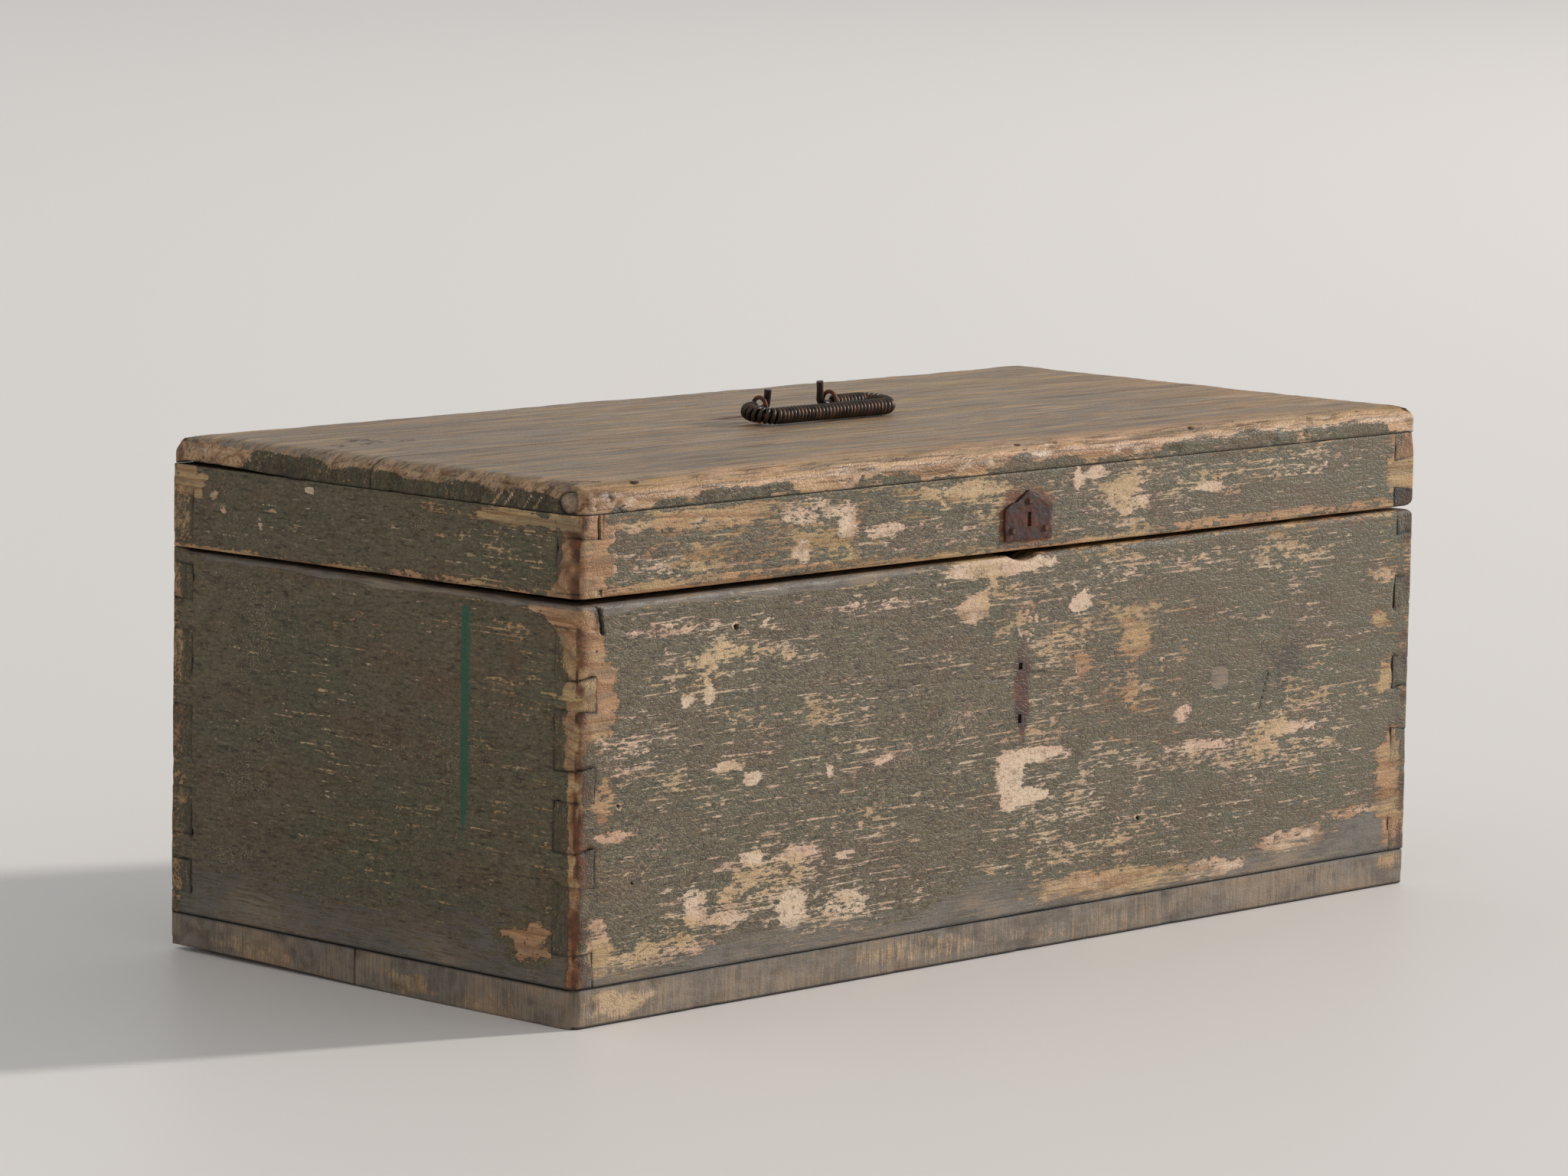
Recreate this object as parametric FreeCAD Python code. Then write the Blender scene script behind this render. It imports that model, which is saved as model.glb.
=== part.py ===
import FreeCAD, Part
import math
import os
from FreeCAD import Placement, Rotation, Vector

# A carpenter's tool chest: a dovetailed pine carcase on two base boards, a lid with its own dovetailed
# rails, iron flap hinges, a wire bail handle wrapped in a coil, and a till that slides on two runners.
# Millimetres. +X runs along the front to the right, +Y to the back, +Z up. The origin is the middle of
# the whole chest's box, at the surface that it stands on.

os.makedirs("parts", exist_ok=True)

# --- driving dimensions ---

# carcase
chest_length = 760.0
chest_depth = 347.0
wall_height = 223.0
side_thickness = 18.0            # front and back boards
end_thickness = 16.0             # left and right boards
base_thickness = 23.0
base_front_width = 183.5         # the front base board; the rear one has what is left
corner_wear = 5.0                # worn radius of the upright corners
top_edge_wear = 3.0              # worn radius of the outer top edges
base_corner_wear = 8.0

# how far the carcase's top edge is worn down at its four corners
gap_front_left = 1.9
gap_front_right = 0.4
gap_back_left = 2.3
gap_back_right = 1.0

# hand-cut dovetails, as widths at the outer corner from the bottom up; a joint starts and ends on a pin
front_pins = [19.5, 19.0, 17.5, 17.5, 14.5]
front_tails = [40.5, 29.5, 35.0, 30.0]
back_pins = [13.4, 15.8, 19.7, 13.0, 18.2, 9.1]
back_tails = [20.1, 28.3, 30.2, 33.1, 22.1]
lid_left_pins = [3.6, 12.6]
lid_left_tails = [33.3]
lid_right_pins = [12.5, 15.5]
lid_right_tails = [21.0]
till_pins = [6.0, 8.0, 6.0]
till_tails = [22.0, 22.0]
dovetail_slope = 0.1             # side run for each millimetre of tail length
joint_clearance = 0.1            # on each cheek of a tail

# lid
lid_rail_height = 49.9
lid_side_thickness = 18.0
lid_end_thickness = 20.0
lid_top_thickness = 18.0
lid_front_board_width = 174.0
lid_corner_wear = 6.0
lid_top_corner_wear = 14.0
lid_top_edge_wear = 12.0
lid_rail_edge_wear = 1.5
lid_rise_front = 2.1             # how much higher the lid's lower edge is worn at the front than at the back

# worn hollow in the front board's top edge, under the clasp
hollow_centre_x = 2.2
hollow_width = 29.0
hollow_depth = 3.4

# two through holes left by the clasp's missing staple
staple_x = 0.0
staple_upper_drop = 68.2         # from the line where the lid meets the carcase
staple_lower_drop = 102.3
staple_hole_width = 3.2
staple_hole_height = 4.6

# clasp plate on the lid's front rail
plate_left_x = -18.5
plate_width = 42.9
plate_rise = 8.1                 # of its lower edge, over the line where the lid meets the carcase
plate_shoulder_height = 19.0
plate_height = 30.4
plate_thickness = 1.8
plate_slot_width = 3.2
plate_slot_height = 9.0
plate_slot_rise = 12.8           # from the plate's lower edge to the middle of the slot
plate_nail_inset = 6.5

# cut nails with square shanks: head width, head thickness, shank width, point width, length
board_nail = dict(head=5.6, head_thickness=1.4, shank=2.8, point=1.2, length=46.0)
runner_nail = dict(head=4.2, head_thickness=1.1, shank=2.2, point=1.0, length=26.0)
plate_nail = dict(head=4.0, head_thickness=1.0, shank=2.0, point=0.9, length=14.0)
hinge_nail = dict(head=6.0, head_thickness=1.2, shank=2.6, point=1.1, length=16.0)
till_nail = dict(head=2.8, head_thickness=0.8, shank=1.5, point=0.7, length=18.0)
nail_clearance = 0.05
head_taper = 0.7                 # width of a head's top, as a share of the width of its underside
nail_sink = 0.6                  # how far a board nail's head lies below the wood
nails_along_side = 5
nail_end_inset = 52.0
end_nail_from_front = 87.0       # the one nail in each end board

# flap hinges on the back
hinge_spacing = 460.0            # between the middles of the two hinges
leaf_length = 72.0
leaf_height = 36.0
leaf_thickness = 2.0
knuckle_count = 3
knuckle_radius = 4.2
knuckle_side_gap = 0.3
hinge_pin_radius = 2.0
hinge_pin_clearance = 0.05
hinge_pin_overhang = 1.5         # how far a pin stands out of the knuckles at each end
leaf_swing_gap = 0.5             # between a leaf's edge and the other leaf's knuckles
hinge_nail_count = 3
hinge_nail_end_inset = 12.0
hinge_nail_row = 22.0            # from the hinge line to the row of nails
hinge_nail_stagger = 5.0         # how much nearer the hinge line the middle nail is

# bail handle on the lid
bail_wire_radius = 2.25
bail_spread = 21.0               # from the hinge line to the middle of the grip
bail_left_turn_x = -49.2
bail_right_turn_x = 45.7
bail_axis_from_front = 181.9
bail_bend_radius = 4.2
left_stub_x = -38.0
right_stub_x = 9.8
left_stub_height = 12.0
right_stub_height = 14.6
wrap_wire_diameter = 3.0
wrap_pitch = 3.1
wrap_clearance = 0.05            # between the bail and the wire wrapped round it
wrap_groove_depth = 1.1
rest_gap = 0.3                   # under a part that lies loose on another
wire_sides = 10                  # round wire is drawn with this many flats
bend_step_degrees = 22.5         # and its bends in steps of about this much

# cotter eyes that hold the bail
left_eye_x = -44.2
right_eye_x = 19.0
eye_inner_radius = 4.25
eye_wire_radius = 1.3
eye_stand = 2.5                  # from the lid up to the underside of the ring
eye_leg_gap = 0.1
eye_hole_clearance = 0.2
eye_bend_radius = 2.0
eye_clinch_length = 12.0

# sliding till and its runners
till_length = 240.0
till_height = 70.0
till_drop = 8.0                  # from the carcase's top down to the till's
till_wall = 9.0
till_bottom_thickness = 6.0
till_divider_thickness = 7.0
till_side_gap = 1.0
runner_width = 16.0
runner_height = 18.0
runner_nail_count = 4
till_nail_count = 3

# --- places worked out from them ---

back_reach = 2 * knuckle_radius                                  # of the hinges behind the back board
front_reach = plate_thickness + plate_nail["head_thickness"]     # of the clasp plate before the front
x_left = -chest_length / 2
x_right = chest_length / 2
y_front = -(chest_depth + back_reach - front_reach) / 2
y_back = y_front + chest_depth
z_base = base_thickness
z_split = z_base + wall_height
z_rail_top = z_split + lid_rail_height
z_top = z_rail_top + lid_top_thickness
plate_bottom_z = z_split + plate_rise
margin = 10.0                    # how far a cutting tool runs past what it cuts
same_place = 0.01                # points that are no further apart than this count as one
upright_cosine = 0.99            # an edge whose direction has at least this much of Z counts as upright
flat_volume = 1e-6               # four corners that span no more than this count as one flat face


def save(name, shape):
    """Writes one node, a solid or a group of separate solids."""
    shape.exportStep("parts/" + name + ".step")


def box(x0, x1, y0, y1, z0, z1):
    return Part.makeBox(x1 - x0, y1 - y0, z1 - z0, Vector(x0, y0, z0))


def prism(points, direction):
    """A flat outline pushed along a direction."""
    return Part.Face(Part.makePolygon(points + [points[0]])).extrude(direction)


def frustum(low_width, high_width, height):
    """A square taper that stands on the XY plane, built from six flat faces."""
    low = low_width / 2
    high = high_width / 2
    corners = [(-1, -1), (1, -1), (1, 1), (-1, 1)]
    bottom = [Vector(low * x, low * y, 0) for x, y in corners]
    top = [Vector(high * x, high * y, height) for x, y in corners]
    outlines = [bottom, top]
    for i in range(4):
        j = (i + 1) % 4
        outlines.append([bottom[i], bottom[j], top[j], top[i]])
    faces = [Part.Face(Part.makePolygon(points + [points[0]])) for points in outlines]
    return Part.makeSolid(Part.makeShell(faces))


def rounded_block(x0, x1, y0, y1, z0, z1, corner_radius):
    """A block whose upright corners are worn round."""
    block = box(x0, x1, y0, y1, z0, z1)
    upright = [edge for edge in block.Edges if abs(edge.tangentAt(edge.FirstParameter).z) > upright_cosine]
    return block.makeFillet(corner_radius, upright)


def round_edges(shape, radius, wanted):
    """Rounds the edges whose two ends and middle all pass the test wanted(point)."""
    picked = []
    for edge in shape.Edges:
        middle = edge.valueAt((edge.FirstParameter + edge.LastParameter) / 2)
        points = [vertex.Point for vertex in edge.Vertexes] + [middle]
        if all(wanted(point) for point in points):
            picked.append(edge)
    return shape.makeFillet(radius, picked)


# --- dovetailed frames ---

def tail_spans(pins, tails, z_low, z_high):
    """Bottom and top of each tail at the outer corner, with the hand-cut widths stretched to the height."""
    scale = (z_high - z_low) / (sum(pins) + sum(tails))
    spans = []
    z = z_low
    for pin, tail in zip(pins, tails):
        z += pin * scale
        spans.append((z, z + tail * scale))
        z += tail * scale
    return spans


def tail_board(x0, x1, y0, y1, z_low, z_high_left, z_high_right, left_spans, right_spans, depth):
    """A board along X with flared tails at both ends; depth is how thick the boards are that they pass."""
    flare = dovetail_slope * depth
    points = [Vector(x0 + depth, y0, z_low)]
    for low, high in left_spans:
        points.append(Vector(x0 + depth, y0, low + flare))
        points.append(Vector(x0, y0, low))
        points.append(Vector(x0, y0, high))
        points.append(Vector(x0 + depth, y0, high - flare))
    points.append(Vector(x0 + depth, y0, z_high_left))
    points.append(Vector(x1 - depth, y0, z_high_right))
    for low, high in reversed(right_spans):
        points.append(Vector(x1 - depth, y0, high - flare))
        points.append(Vector(x1, y0, high))
        points.append(Vector(x1, y0, low))
        points.append(Vector(x1 - depth, y0, low + flare))
    points.append(Vector(x1 - depth, y0, z_low))
    return prism(points, Vector(0, y1 - y0, 0))


def tail_sockets(x_outer, x_inner, y0, y1, spans):
    """The spaces that a tail board's tails need between the pins, with clearance on their cheeks."""
    inward = 1 if x_inner > x_outer else -1
    flare = dovetail_slope * abs(x_inner - x_outer)
    run = dovetail_slope * margin
    sockets = []
    for low, high in spans:
        low -= joint_clearance
        high += joint_clearance
        outline = [
            Vector(x_outer - inward * margin, y0, low - run),
            Vector(x_outer - inward * margin, y0, high + run),
            Vector(x_inner + inward * margin, y0, high - flare - run),
            Vector(x_inner + inward * margin, y0, low + flare + run),
        ]
        sockets.append(prism(outline, Vector(0, y1 - y0, 0)))
    return sockets


def pin_board(x0, x1, y0, y1, front_heights, back_heights, outer_x, side, front_spans, back_spans):
    """A board along Y whose ends keep the pins left between the tails of the boards in front and behind.

    front_heights and back_heights are the board's bottom and top at each end.
    """
    outline = [
        Vector(x0, y0, front_heights[0]),
        Vector(x0, y1, back_heights[0]),
        Vector(x0, y1, back_heights[1]),
        Vector(x0, y0, front_heights[1]),
    ]
    board = prism(outline, Vector(x1 - x0, 0, 0))
    inner_x = x0 if outer_x == x1 else x1
    sockets = tail_sockets(outer_x, inner_x, y0 - margin, y0 + side, front_spans)
    sockets += tail_sockets(outer_x, inner_x, y1 - side, y1 + margin, back_spans)
    return board.cut(sockets)


# --- nails ---

def nail(kind):
    """A cut nail pointing along +Z, with its head's top at z = 0."""
    head = frustum(kind["head"] * head_taper, kind["head"], kind["head_thickness"])
    shank = frustum(kind["shank"], kind["point"], kind["length"] - kind["head_thickness"])
    shank.translate(Vector(0, 0, kind["head_thickness"]))
    return head.fuse(shank)


def nail_hole(kind, sink):
    """The space a nail fills, open above its head."""
    width = kind["head"] + 2 * nail_clearance
    depth = kind["head_thickness"]
    recess = box(-width / 2, width / 2, -width / 2, width / 2, -sink - margin, depth)
    shank = frustum(kind["shank"] + 2 * nail_clearance, kind["point"] + 2 * nail_clearance,
                    kind["length"] - depth + nail_clearance)
    shank.translate(Vector(0, 0, depth))
    return recess.fuse(shank)


def place(shape, point, direction):
    """Turns a shape made along +Z to a direction and moves it to a point."""
    placed = shape.copy()
    placed.Placement = Placement(point, Rotation(Vector(0, 0, 1), direction)).multiply(shape.Placement)
    return placed


def standing_nail(kind):
    """A nail whose head stands on the surface at z = 0."""
    pin = nail(kind)
    pin.translate(Vector(0, 0, -kind["head_thickness"]))
    return pin


def standing_nail_hole(kind):
    """The space of a standing nail's shank."""
    width = kind["shank"] + 2 * nail_clearance
    hole = frustum(width, kind["point"] + 2 * nail_clearance, kind["length"] + nail_clearance)
    mouth = box(-width / 2, width / 2, -width / 2, width / 2, -margin, 0)
    return hole.fuse(mouth)


def nail_spots(inset_x, inset_y):
    """Nails along the front and back boards and one in each end board, as x and y."""
    first = x_left + nail_end_inset
    step = (chest_length - 2 * nail_end_inset) / (nails_along_side - 1)
    spots = []
    for y in (y_front + inset_y, y_back - inset_y):
        spots += [(first + i * step, y) for i in range(nails_along_side)]
    middle_y = y_front + end_nail_from_front
    spots += [(x_left + inset_x, middle_y), (x_right - inset_x, middle_y)]
    return spots


base_nail_spots = nail_spots(end_thickness / 2, side_thickness / 2)
lid_nail_spots = nail_spots(lid_end_thickness / 2, lid_side_thickness / 2)


def board_nails(spots, z, up):
    direction = Vector(0, 0, 1 if up else -1)
    start = z + nail_sink if up else z - nail_sink
    return [place(nail(board_nail), Vector(x, y, start), direction) for x, y in spots]


def board_nail_holes(spots, z, up):
    direction = Vector(0, 0, 1 if up else -1)
    start = z + nail_sink if up else z - nail_sink
    return [place(nail_hole(board_nail, nail_sink), Vector(x, y, start), direction) for x, y in spots]


base_nail_holes = board_nail_holes(base_nail_spots, 0, True)
lid_nail_holes = board_nail_holes(lid_nail_spots, z_top, False)


# --- hinges ---

hinge_centres = [-hinge_spacing / 2, hinge_spacing / 2]
hinge_axis_y = y_back + knuckle_radius
hinge_axis_z = z_split


def hinge_nail_copies(shape, up):
    """Copies of a nail or its hole at each nail place of the upper or the lower leaves."""
    sign = 1 if up else -1
    step = (leaf_length - 2 * hinge_nail_end_inset) / (hinge_nail_count - 1)
    copies = []
    for centre in hinge_centres:
        for i in range(hinge_nail_count):
            x = centre - leaf_length / 2 + hinge_nail_end_inset + i * step
            row = hinge_nail_row - (hinge_nail_stagger if i % 2 else 0)
            spot = Vector(x, y_back + leaf_thickness, hinge_axis_z + sign * row)
            copies.append(place(shape, spot, Vector(0, -1, 0)))
    return copies


lower_hinge_holes = hinge_nail_copies(standing_nail_hole(hinge_nail), False)
upper_hinge_holes = hinge_nail_copies(standing_nail_hole(hinge_nail), True)


def hinge_leaf(centre, up):
    """A flap hinge's leaf: a plate with its own knuckles rolled round the pin, and notches for the others."""
    start = centre - leaf_length / 2
    pitch = leaf_length / knuckle_count
    sign = 1 if up else -1
    z_far = hinge_axis_z + sign * leaf_height
    z_near = hinge_axis_z + sign * (knuckle_radius + leaf_swing_gap)
    leaf = box(start, start + leaf_length, y_back, y_back + leaf_thickness,
               min(z_near, z_far), max(z_near, z_far))
    bore = Part.makeCylinder(hinge_pin_radius + hinge_pin_clearance, leaf_length + 2 * margin,
                             Vector(start - margin, hinge_axis_y, hinge_axis_z), Vector(1, 0, 0))
    for i in range(1 if up else 0, knuckle_count, 2):
        x0 = start + i * pitch + (knuckle_side_gap / 2 if i > 0 else 0)
        x1 = start + (i + 1) * pitch - (knuckle_side_gap / 2 if i < knuckle_count - 1 else 0)
        roll = Part.makeCylinder(knuckle_radius, x1 - x0, Vector(x0, hinge_axis_y, hinge_axis_z),
                                 Vector(1, 0, 0))
        neck = box(x0, x1, y_back, y_back + leaf_thickness,
                   min(hinge_axis_z, z_near), max(hinge_axis_z, z_near))
        leaf = leaf.fuse([roll, neck])
    holes = upper_hinge_holes if up else lower_hinge_holes
    return leaf.cut([bore] + holes).removeSplitter()


def hinge_pin(centre):
    """A plain pin, a little longer than the knuckles that it joins."""
    length = leaf_length + 2 * hinge_pin_overhang
    start = Vector(centre - length / 2, hinge_axis_y, hinge_axis_z)
    return Part.makeCylinder(hinge_pin_radius, length, start, Vector(1, 0, 0))


# --- carcase ---

wall_form = rounded_block(x_left, x_right, y_front, y_back, z_base, z_split, corner_wear)
front_spans = tail_spans(front_pins, front_tails, z_base, z_split)
back_spans = tail_spans(back_pins, back_tails, z_base, z_split)


def lying_outside(point, y_wanted, z_least):
    return abs(point.y - y_wanted) < same_place and point.z > z_least


def front_board():
    """The tailed front, with its worn top edge, the hollow under the clasp and the staple's two holes."""
    board = tail_board(x_left, x_right, y_front, y_front + side_thickness, z_base,
                       z_split - gap_front_left, z_split - gap_front_right, front_spans, front_spans,
                       end_thickness)
    highest_tail = front_spans[-1][1] + same_place
    board = round_edges(board, top_edge_wear, lambda point: lying_outside(point, y_front, highest_tail))
    radius = (hollow_width ** 2 / 4 + hollow_depth ** 2) / (2 * hollow_depth)
    edge_z = z_split - (gap_front_left + gap_front_right) / 2
    hollow = Part.makeCylinder(radius, side_thickness + 2 * margin,
                               Vector(hollow_centre_x, y_front - margin, edge_z - hollow_depth + radius),
                               Vector(0, 1, 0))
    holes = [hollow]
    for drop in (staple_upper_drop, staple_lower_drop):
        z = z_split - drop
        holes.append(box(staple_x - staple_hole_width / 2, staple_x + staple_hole_width / 2,
                         y_front - margin, y_front + side_thickness + margin,
                         z - staple_hole_height / 2, z + staple_hole_height / 2))
    return board.cut(holes + base_nail_holes + front_runner_holes).common(wall_form)


def back_board():
    """The tailed back, which carries the hinges' lower leaves."""
    board = tail_board(x_left, x_right, y_back - side_thickness, y_back, z_base,
                       z_split - gap_back_left, z_split - gap_back_right, back_spans, back_spans,
                       end_thickness)
    return board.cut(base_nail_holes + back_runner_holes + lower_hinge_holes).common(wall_form)


def end_board(left):
    """A pinned end; its top edge falls from the back corner's gap to the front corner's."""
    x0 = x_left if left else x_right - end_thickness
    outer_x = x_left if left else x_right
    gap_front = gap_front_left if left else gap_front_right
    gap_back = gap_back_left if left else gap_back_right
    board = pin_board(x0, x0 + end_thickness, y_front, y_back, (z_base, z_split - gap_front),
                      (z_base, z_split - gap_back), outer_x, side_thickness, front_spans, back_spans)
    return board.cut(base_nail_holes).common(wall_form)


def base_boards():
    """Two boards side by side under the walls, flush with them, with worn corners."""
    block = rounded_block(x_left, x_right, y_front, y_back, 0, z_base, base_corner_wear)
    block = block.cut(base_nail_holes)
    joint_y = y_front + base_front_width
    front = block.common(box(x_left, x_right, y_front, joint_y, 0, z_base))
    rear = block.common(box(x_left, x_right, joint_y, y_back, 0, z_base))
    return front, rear


# --- till runners ---

inner_left = x_left + end_thickness
inner_right = x_right - end_thickness
inner_front = y_front + side_thickness
inner_back = y_back - side_thickness
z_till_top = z_split - till_drop
z_till = z_till_top - till_height
z_runner_top = z_till - rest_gap
z_runner = z_runner_top - runner_height


def runner_nail_places(front):
    """Nails through a runner into its wall, as points and a direction."""
    y = inner_front + runner_width if front else inner_back - runner_width
    direction = Vector(0, -1, 0) if front else Vector(0, 1, 0)
    step = (inner_right - inner_left) / runner_nail_count
    z = z_runner + runner_height / 2
    return [(Vector(inner_left + (i + 0.5) * step, y, z), direction) for i in range(runner_nail_count)]


front_runner_holes = [place(nail_hole(runner_nail, 0), *spot) for spot in runner_nail_places(True)]
back_runner_holes = [place(nail_hole(runner_nail, 0), *spot) for spot in runner_nail_places(False)]


def runner(front):
    y0 = inner_front if front else inner_back - runner_width
    strip = box(inner_left, inner_right, y0, y0 + runner_width, z_runner, z_runner_top)
    return strip.cut(front_runner_holes if front else back_runner_holes)


def runner_nails():
    spots = runner_nail_places(True) + runner_nail_places(False)
    return Part.makeCompound([place(nail(runner_nail), *spot) for spot in spots])


# --- clasp plate ---

def plate_nail_spots():
    """Two nails in the plate's lower corners and one under its point, as x and z."""
    middle = plate_left_x + plate_width / 2
    return [
        (plate_left_x + plate_nail_inset, plate_bottom_z + plate_nail_inset),
        (plate_left_x + plate_width - plate_nail_inset, plate_bottom_z + plate_nail_inset),
        (middle, plate_bottom_z + plate_height - plate_nail_inset),
    ]


def plate_nail_copies(shape):
    start = y_front - plate_thickness
    return [place(shape, Vector(x, start, z), Vector(0, 1, 0)) for x, z in plate_nail_spots()]


plate_nail_holes = plate_nail_copies(standing_nail_hole(plate_nail))


def clasp_plate():
    """The plate that is left of the clasp: a house-shaped piece of sheet iron with an upright slot."""
    right = plate_left_x + plate_width
    middle = plate_left_x + plate_width / 2
    shoulder = plate_bottom_z + plate_shoulder_height
    outline = [
        Vector(plate_left_x, y_front, plate_bottom_z),
        Vector(right, y_front, plate_bottom_z),
        Vector(right, y_front, shoulder),
        Vector(middle, y_front, plate_bottom_z + plate_height),
        Vector(plate_left_x, y_front, shoulder),
    ]
    plate = prism(outline, Vector(0, -plate_thickness, 0))
    slot_z = plate_bottom_z + plate_slot_rise
    slot = box(middle - plate_slot_width / 2, middle + plate_slot_width / 2,
               y_front - plate_thickness - margin, y_front,
               slot_z - plate_slot_height / 2, slot_z + plate_slot_height / 2)
    return plate.cut([slot] + plate_nail_holes)


# --- bent wire ---

def arc_points(centre, first, second, degrees):
    """Points round an arc, ends included; first and second are its radius vectors at 0 and at 90 degrees."""
    steps = max(2, round(degrees / bend_step_degrees))
    angles = [math.radians(degrees) * i / steps for i in range(steps + 1)]
    return [centre + first * math.cos(angle) + second * math.sin(angle) for angle in angles]


def facet_solid(rings):
    """A solid skinned over rings of points, with a flat cap at each end."""
    faces = []
    for cap in (rings[0], rings[-1]):
        faces.append(Part.Face(Part.makePolygon(cap + [cap[0]])))
    for ring, following in zip(rings, rings[1:]):
        for i in range(len(ring)):
            j = (i + 1) % len(ring)
            a, b, c, d = ring[i], ring[j], following[j], following[i]
            if abs((b - a).cross(c - a).dot(d - a)) < flat_volume:
                outlines = [[a, b, c, d]]
            else:
                outlines = [[a, b, c], [a, c, d]]
            faces += [Part.Face(Part.makePolygon(points + [points[0]])) for points in outlines]
    shell = Part.makeShell(faces)
    shell.sewShape()
    solid = Part.makeSolid(shell)
    if solid.Volume < 0:
        solid.reverse()
    return solid


def bent_wire(points, radius, side):
    """A round wire with mitred bends along a path; side is square to the path's first stretch."""
    direction = (points[1] - points[0]).normalize()
    other = direction.cross(side)
    angles = [2 * math.pi * (i + 0.5) / wire_sides for i in range(wire_sides)]
    flat_radius = radius / math.cos(math.pi / wire_sides)
    ring = [points[0] + (side * math.cos(a) + other * math.sin(a)) * flat_radius for a in angles]
    rings = [ring]
    for i in range(1, len(points)):
        following = direction if i == len(points) - 1 else (points[i + 1] - points[i]).normalize()
        mitre = direction + following
        ring = [p + direction * ((points[i] - p).dot(mitre) / direction.dot(mitre)) for p in ring]
        rings.append(ring)
        direction = following
    return facet_solid(rings)


# --- handle eyes ---

wrap_radius = bail_wire_radius + wrap_clearance + wrap_wire_diameter
bail_axis_y = y_front + bail_axis_from_front
eye_ring_radius = eye_inner_radius + eye_wire_radius
eye_centre_z = z_top + eye_stand + eye_wire_radius + eye_ring_radius
bail_axis_z = eye_centre_z - eye_inner_radius + rest_gap + bail_wire_radius
bail_tilt = math.asin((bail_axis_z - z_top - rest_gap - wrap_radius) / bail_spread)
eye_leg_offset = eye_wire_radius + eye_leg_gap / 2
eye_slot_width = 2 * (eye_wire_radius + eye_hole_clearance)
eye_slot_length = 2 * (eye_leg_offset + eye_bend_radius + eye_wire_radius + eye_hole_clearance)
eye_clinch_z = z_rail_top - eye_wire_radius - rest_gap


def eye_leg_points(x, side):
    """One leg of the cotter, from its clinched end under the lid up to the ring."""
    y = bail_axis_y + side * eye_leg_offset
    turn = Vector(x, y + side * eye_bend_radius, eye_clinch_z + eye_bend_radius)
    end = Vector(x, turn.y + side * eye_clinch_length, eye_clinch_z)
    bend = arc_points(turn, Vector(0, 0, -eye_bend_radius), Vector(0, -side * eye_bend_radius, 0), 90)
    return [end] + bend


def handle_eye(x):
    """A cotter: one wire bent into an upright ring that the bail turns in, with two clinched legs."""
    opening = math.degrees(math.asin(eye_leg_offset / eye_ring_radius))
    centre = Vector(x, bail_axis_y, eye_centre_z)
    first = Vector(0, -eye_leg_offset, -math.sqrt(eye_ring_radius ** 2 - eye_leg_offset ** 2))
    second = Vector(0, first.z, -first.y)
    ring = arc_points(centre, first, second, 360 - 2 * opening)
    points = eye_leg_points(x, -1) + ring + eye_leg_points(x, 1)[::-1]
    return bent_wire(points, eye_wire_radius, Vector(1, 0, 0))


def eye_slot(x):
    """The slot for the legs in the lid board, long enough for their bends beneath."""
    return box(x - eye_slot_width / 2, x + eye_slot_width / 2,
               bail_axis_y - eye_slot_length / 2, bail_axis_y + eye_slot_length / 2,
               z_rail_top - margin, z_top + margin)


# --- lid ---

lid_form = rounded_block(x_left, x_right, y_front, y_back, z_split, z_rail_top, lid_corner_wear)
lid_left_spans = tail_spans(lid_left_pins, lid_left_tails, z_split, z_rail_top)
lid_right_spans = tail_spans(lid_right_pins, lid_right_tails, z_split, z_rail_top)


def lid_side_rail(front):
    """A tailed rail along the lid's front or back."""
    y0 = y_front if front else y_back - lid_side_thickness
    z_low = z_split + lid_rise_front if front else z_split
    rail = tail_board(x_left, x_right, y0, y0 + lid_side_thickness, z_low, z_rail_top, z_rail_top,
                      lid_left_spans, lid_right_spans, lid_end_thickness)
    if front:
        rail = round_edges(rail, lid_rail_edge_wear,
                           lambda point: abs(point.y - y_front) < same_place and point.z < z_low + same_place)
    holes = plate_nail_holes if front else upper_hinge_holes
    return rail.cut(lid_nail_holes + holes).common(lid_form)


def lid_end_rail(left):
    """A pinned rail at one end of the lid, its lower edge rising to the front."""
    x0 = x_left if left else x_right - lid_end_thickness
    outer_x = x_left if left else x_right
    spans = lid_left_spans if left else lid_right_spans
    rail = pin_board(x0, x0 + lid_end_thickness, y_front, y_back, (z_split + lid_rise_front, z_rail_top),
                     (z_split, z_rail_top), outer_x, lid_side_thickness, spans, spans)
    return rail.cut(lid_nail_holes).common(lid_form)


def lid_top_boards():
    """Two boards edge to edge over the rails, their outer edges worn to a full round."""
    block = rounded_block(x_left, x_right, y_front, y_back, z_rail_top, z_top, lid_top_corner_wear)
    block = round_edges(block, lid_top_edge_wear, lambda point: point.z > z_top - same_place)
    block = block.cut(lid_nail_holes + [eye_slot(left_eye_x), eye_slot(right_eye_x)])
    joint_y = y_front + lid_front_board_width
    front = block.common(box(x_left, x_right, y_front, joint_y, z_rail_top, z_top))
    rear = block.common(box(x_left, x_right, joint_y, y_back, z_rail_top, z_top))
    return front, rear


# --- bail handle ---

turn_radius = bail_spread / 2
bail_along = Vector(0, -math.cos(bail_tilt), -math.sin(bail_tilt))
bail_up = Vector(0, -math.sin(bail_tilt), math.cos(bail_tilt))
bail_middle = Vector(0, bail_axis_y, bail_axis_z)


def bail_point(x, along, up):
    """A point of the bail: x, distance from the hinge line in its plane, and height above that plane."""
    return bail_middle + Vector(x, 0, 0) + bail_along * along + bail_up * up


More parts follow.
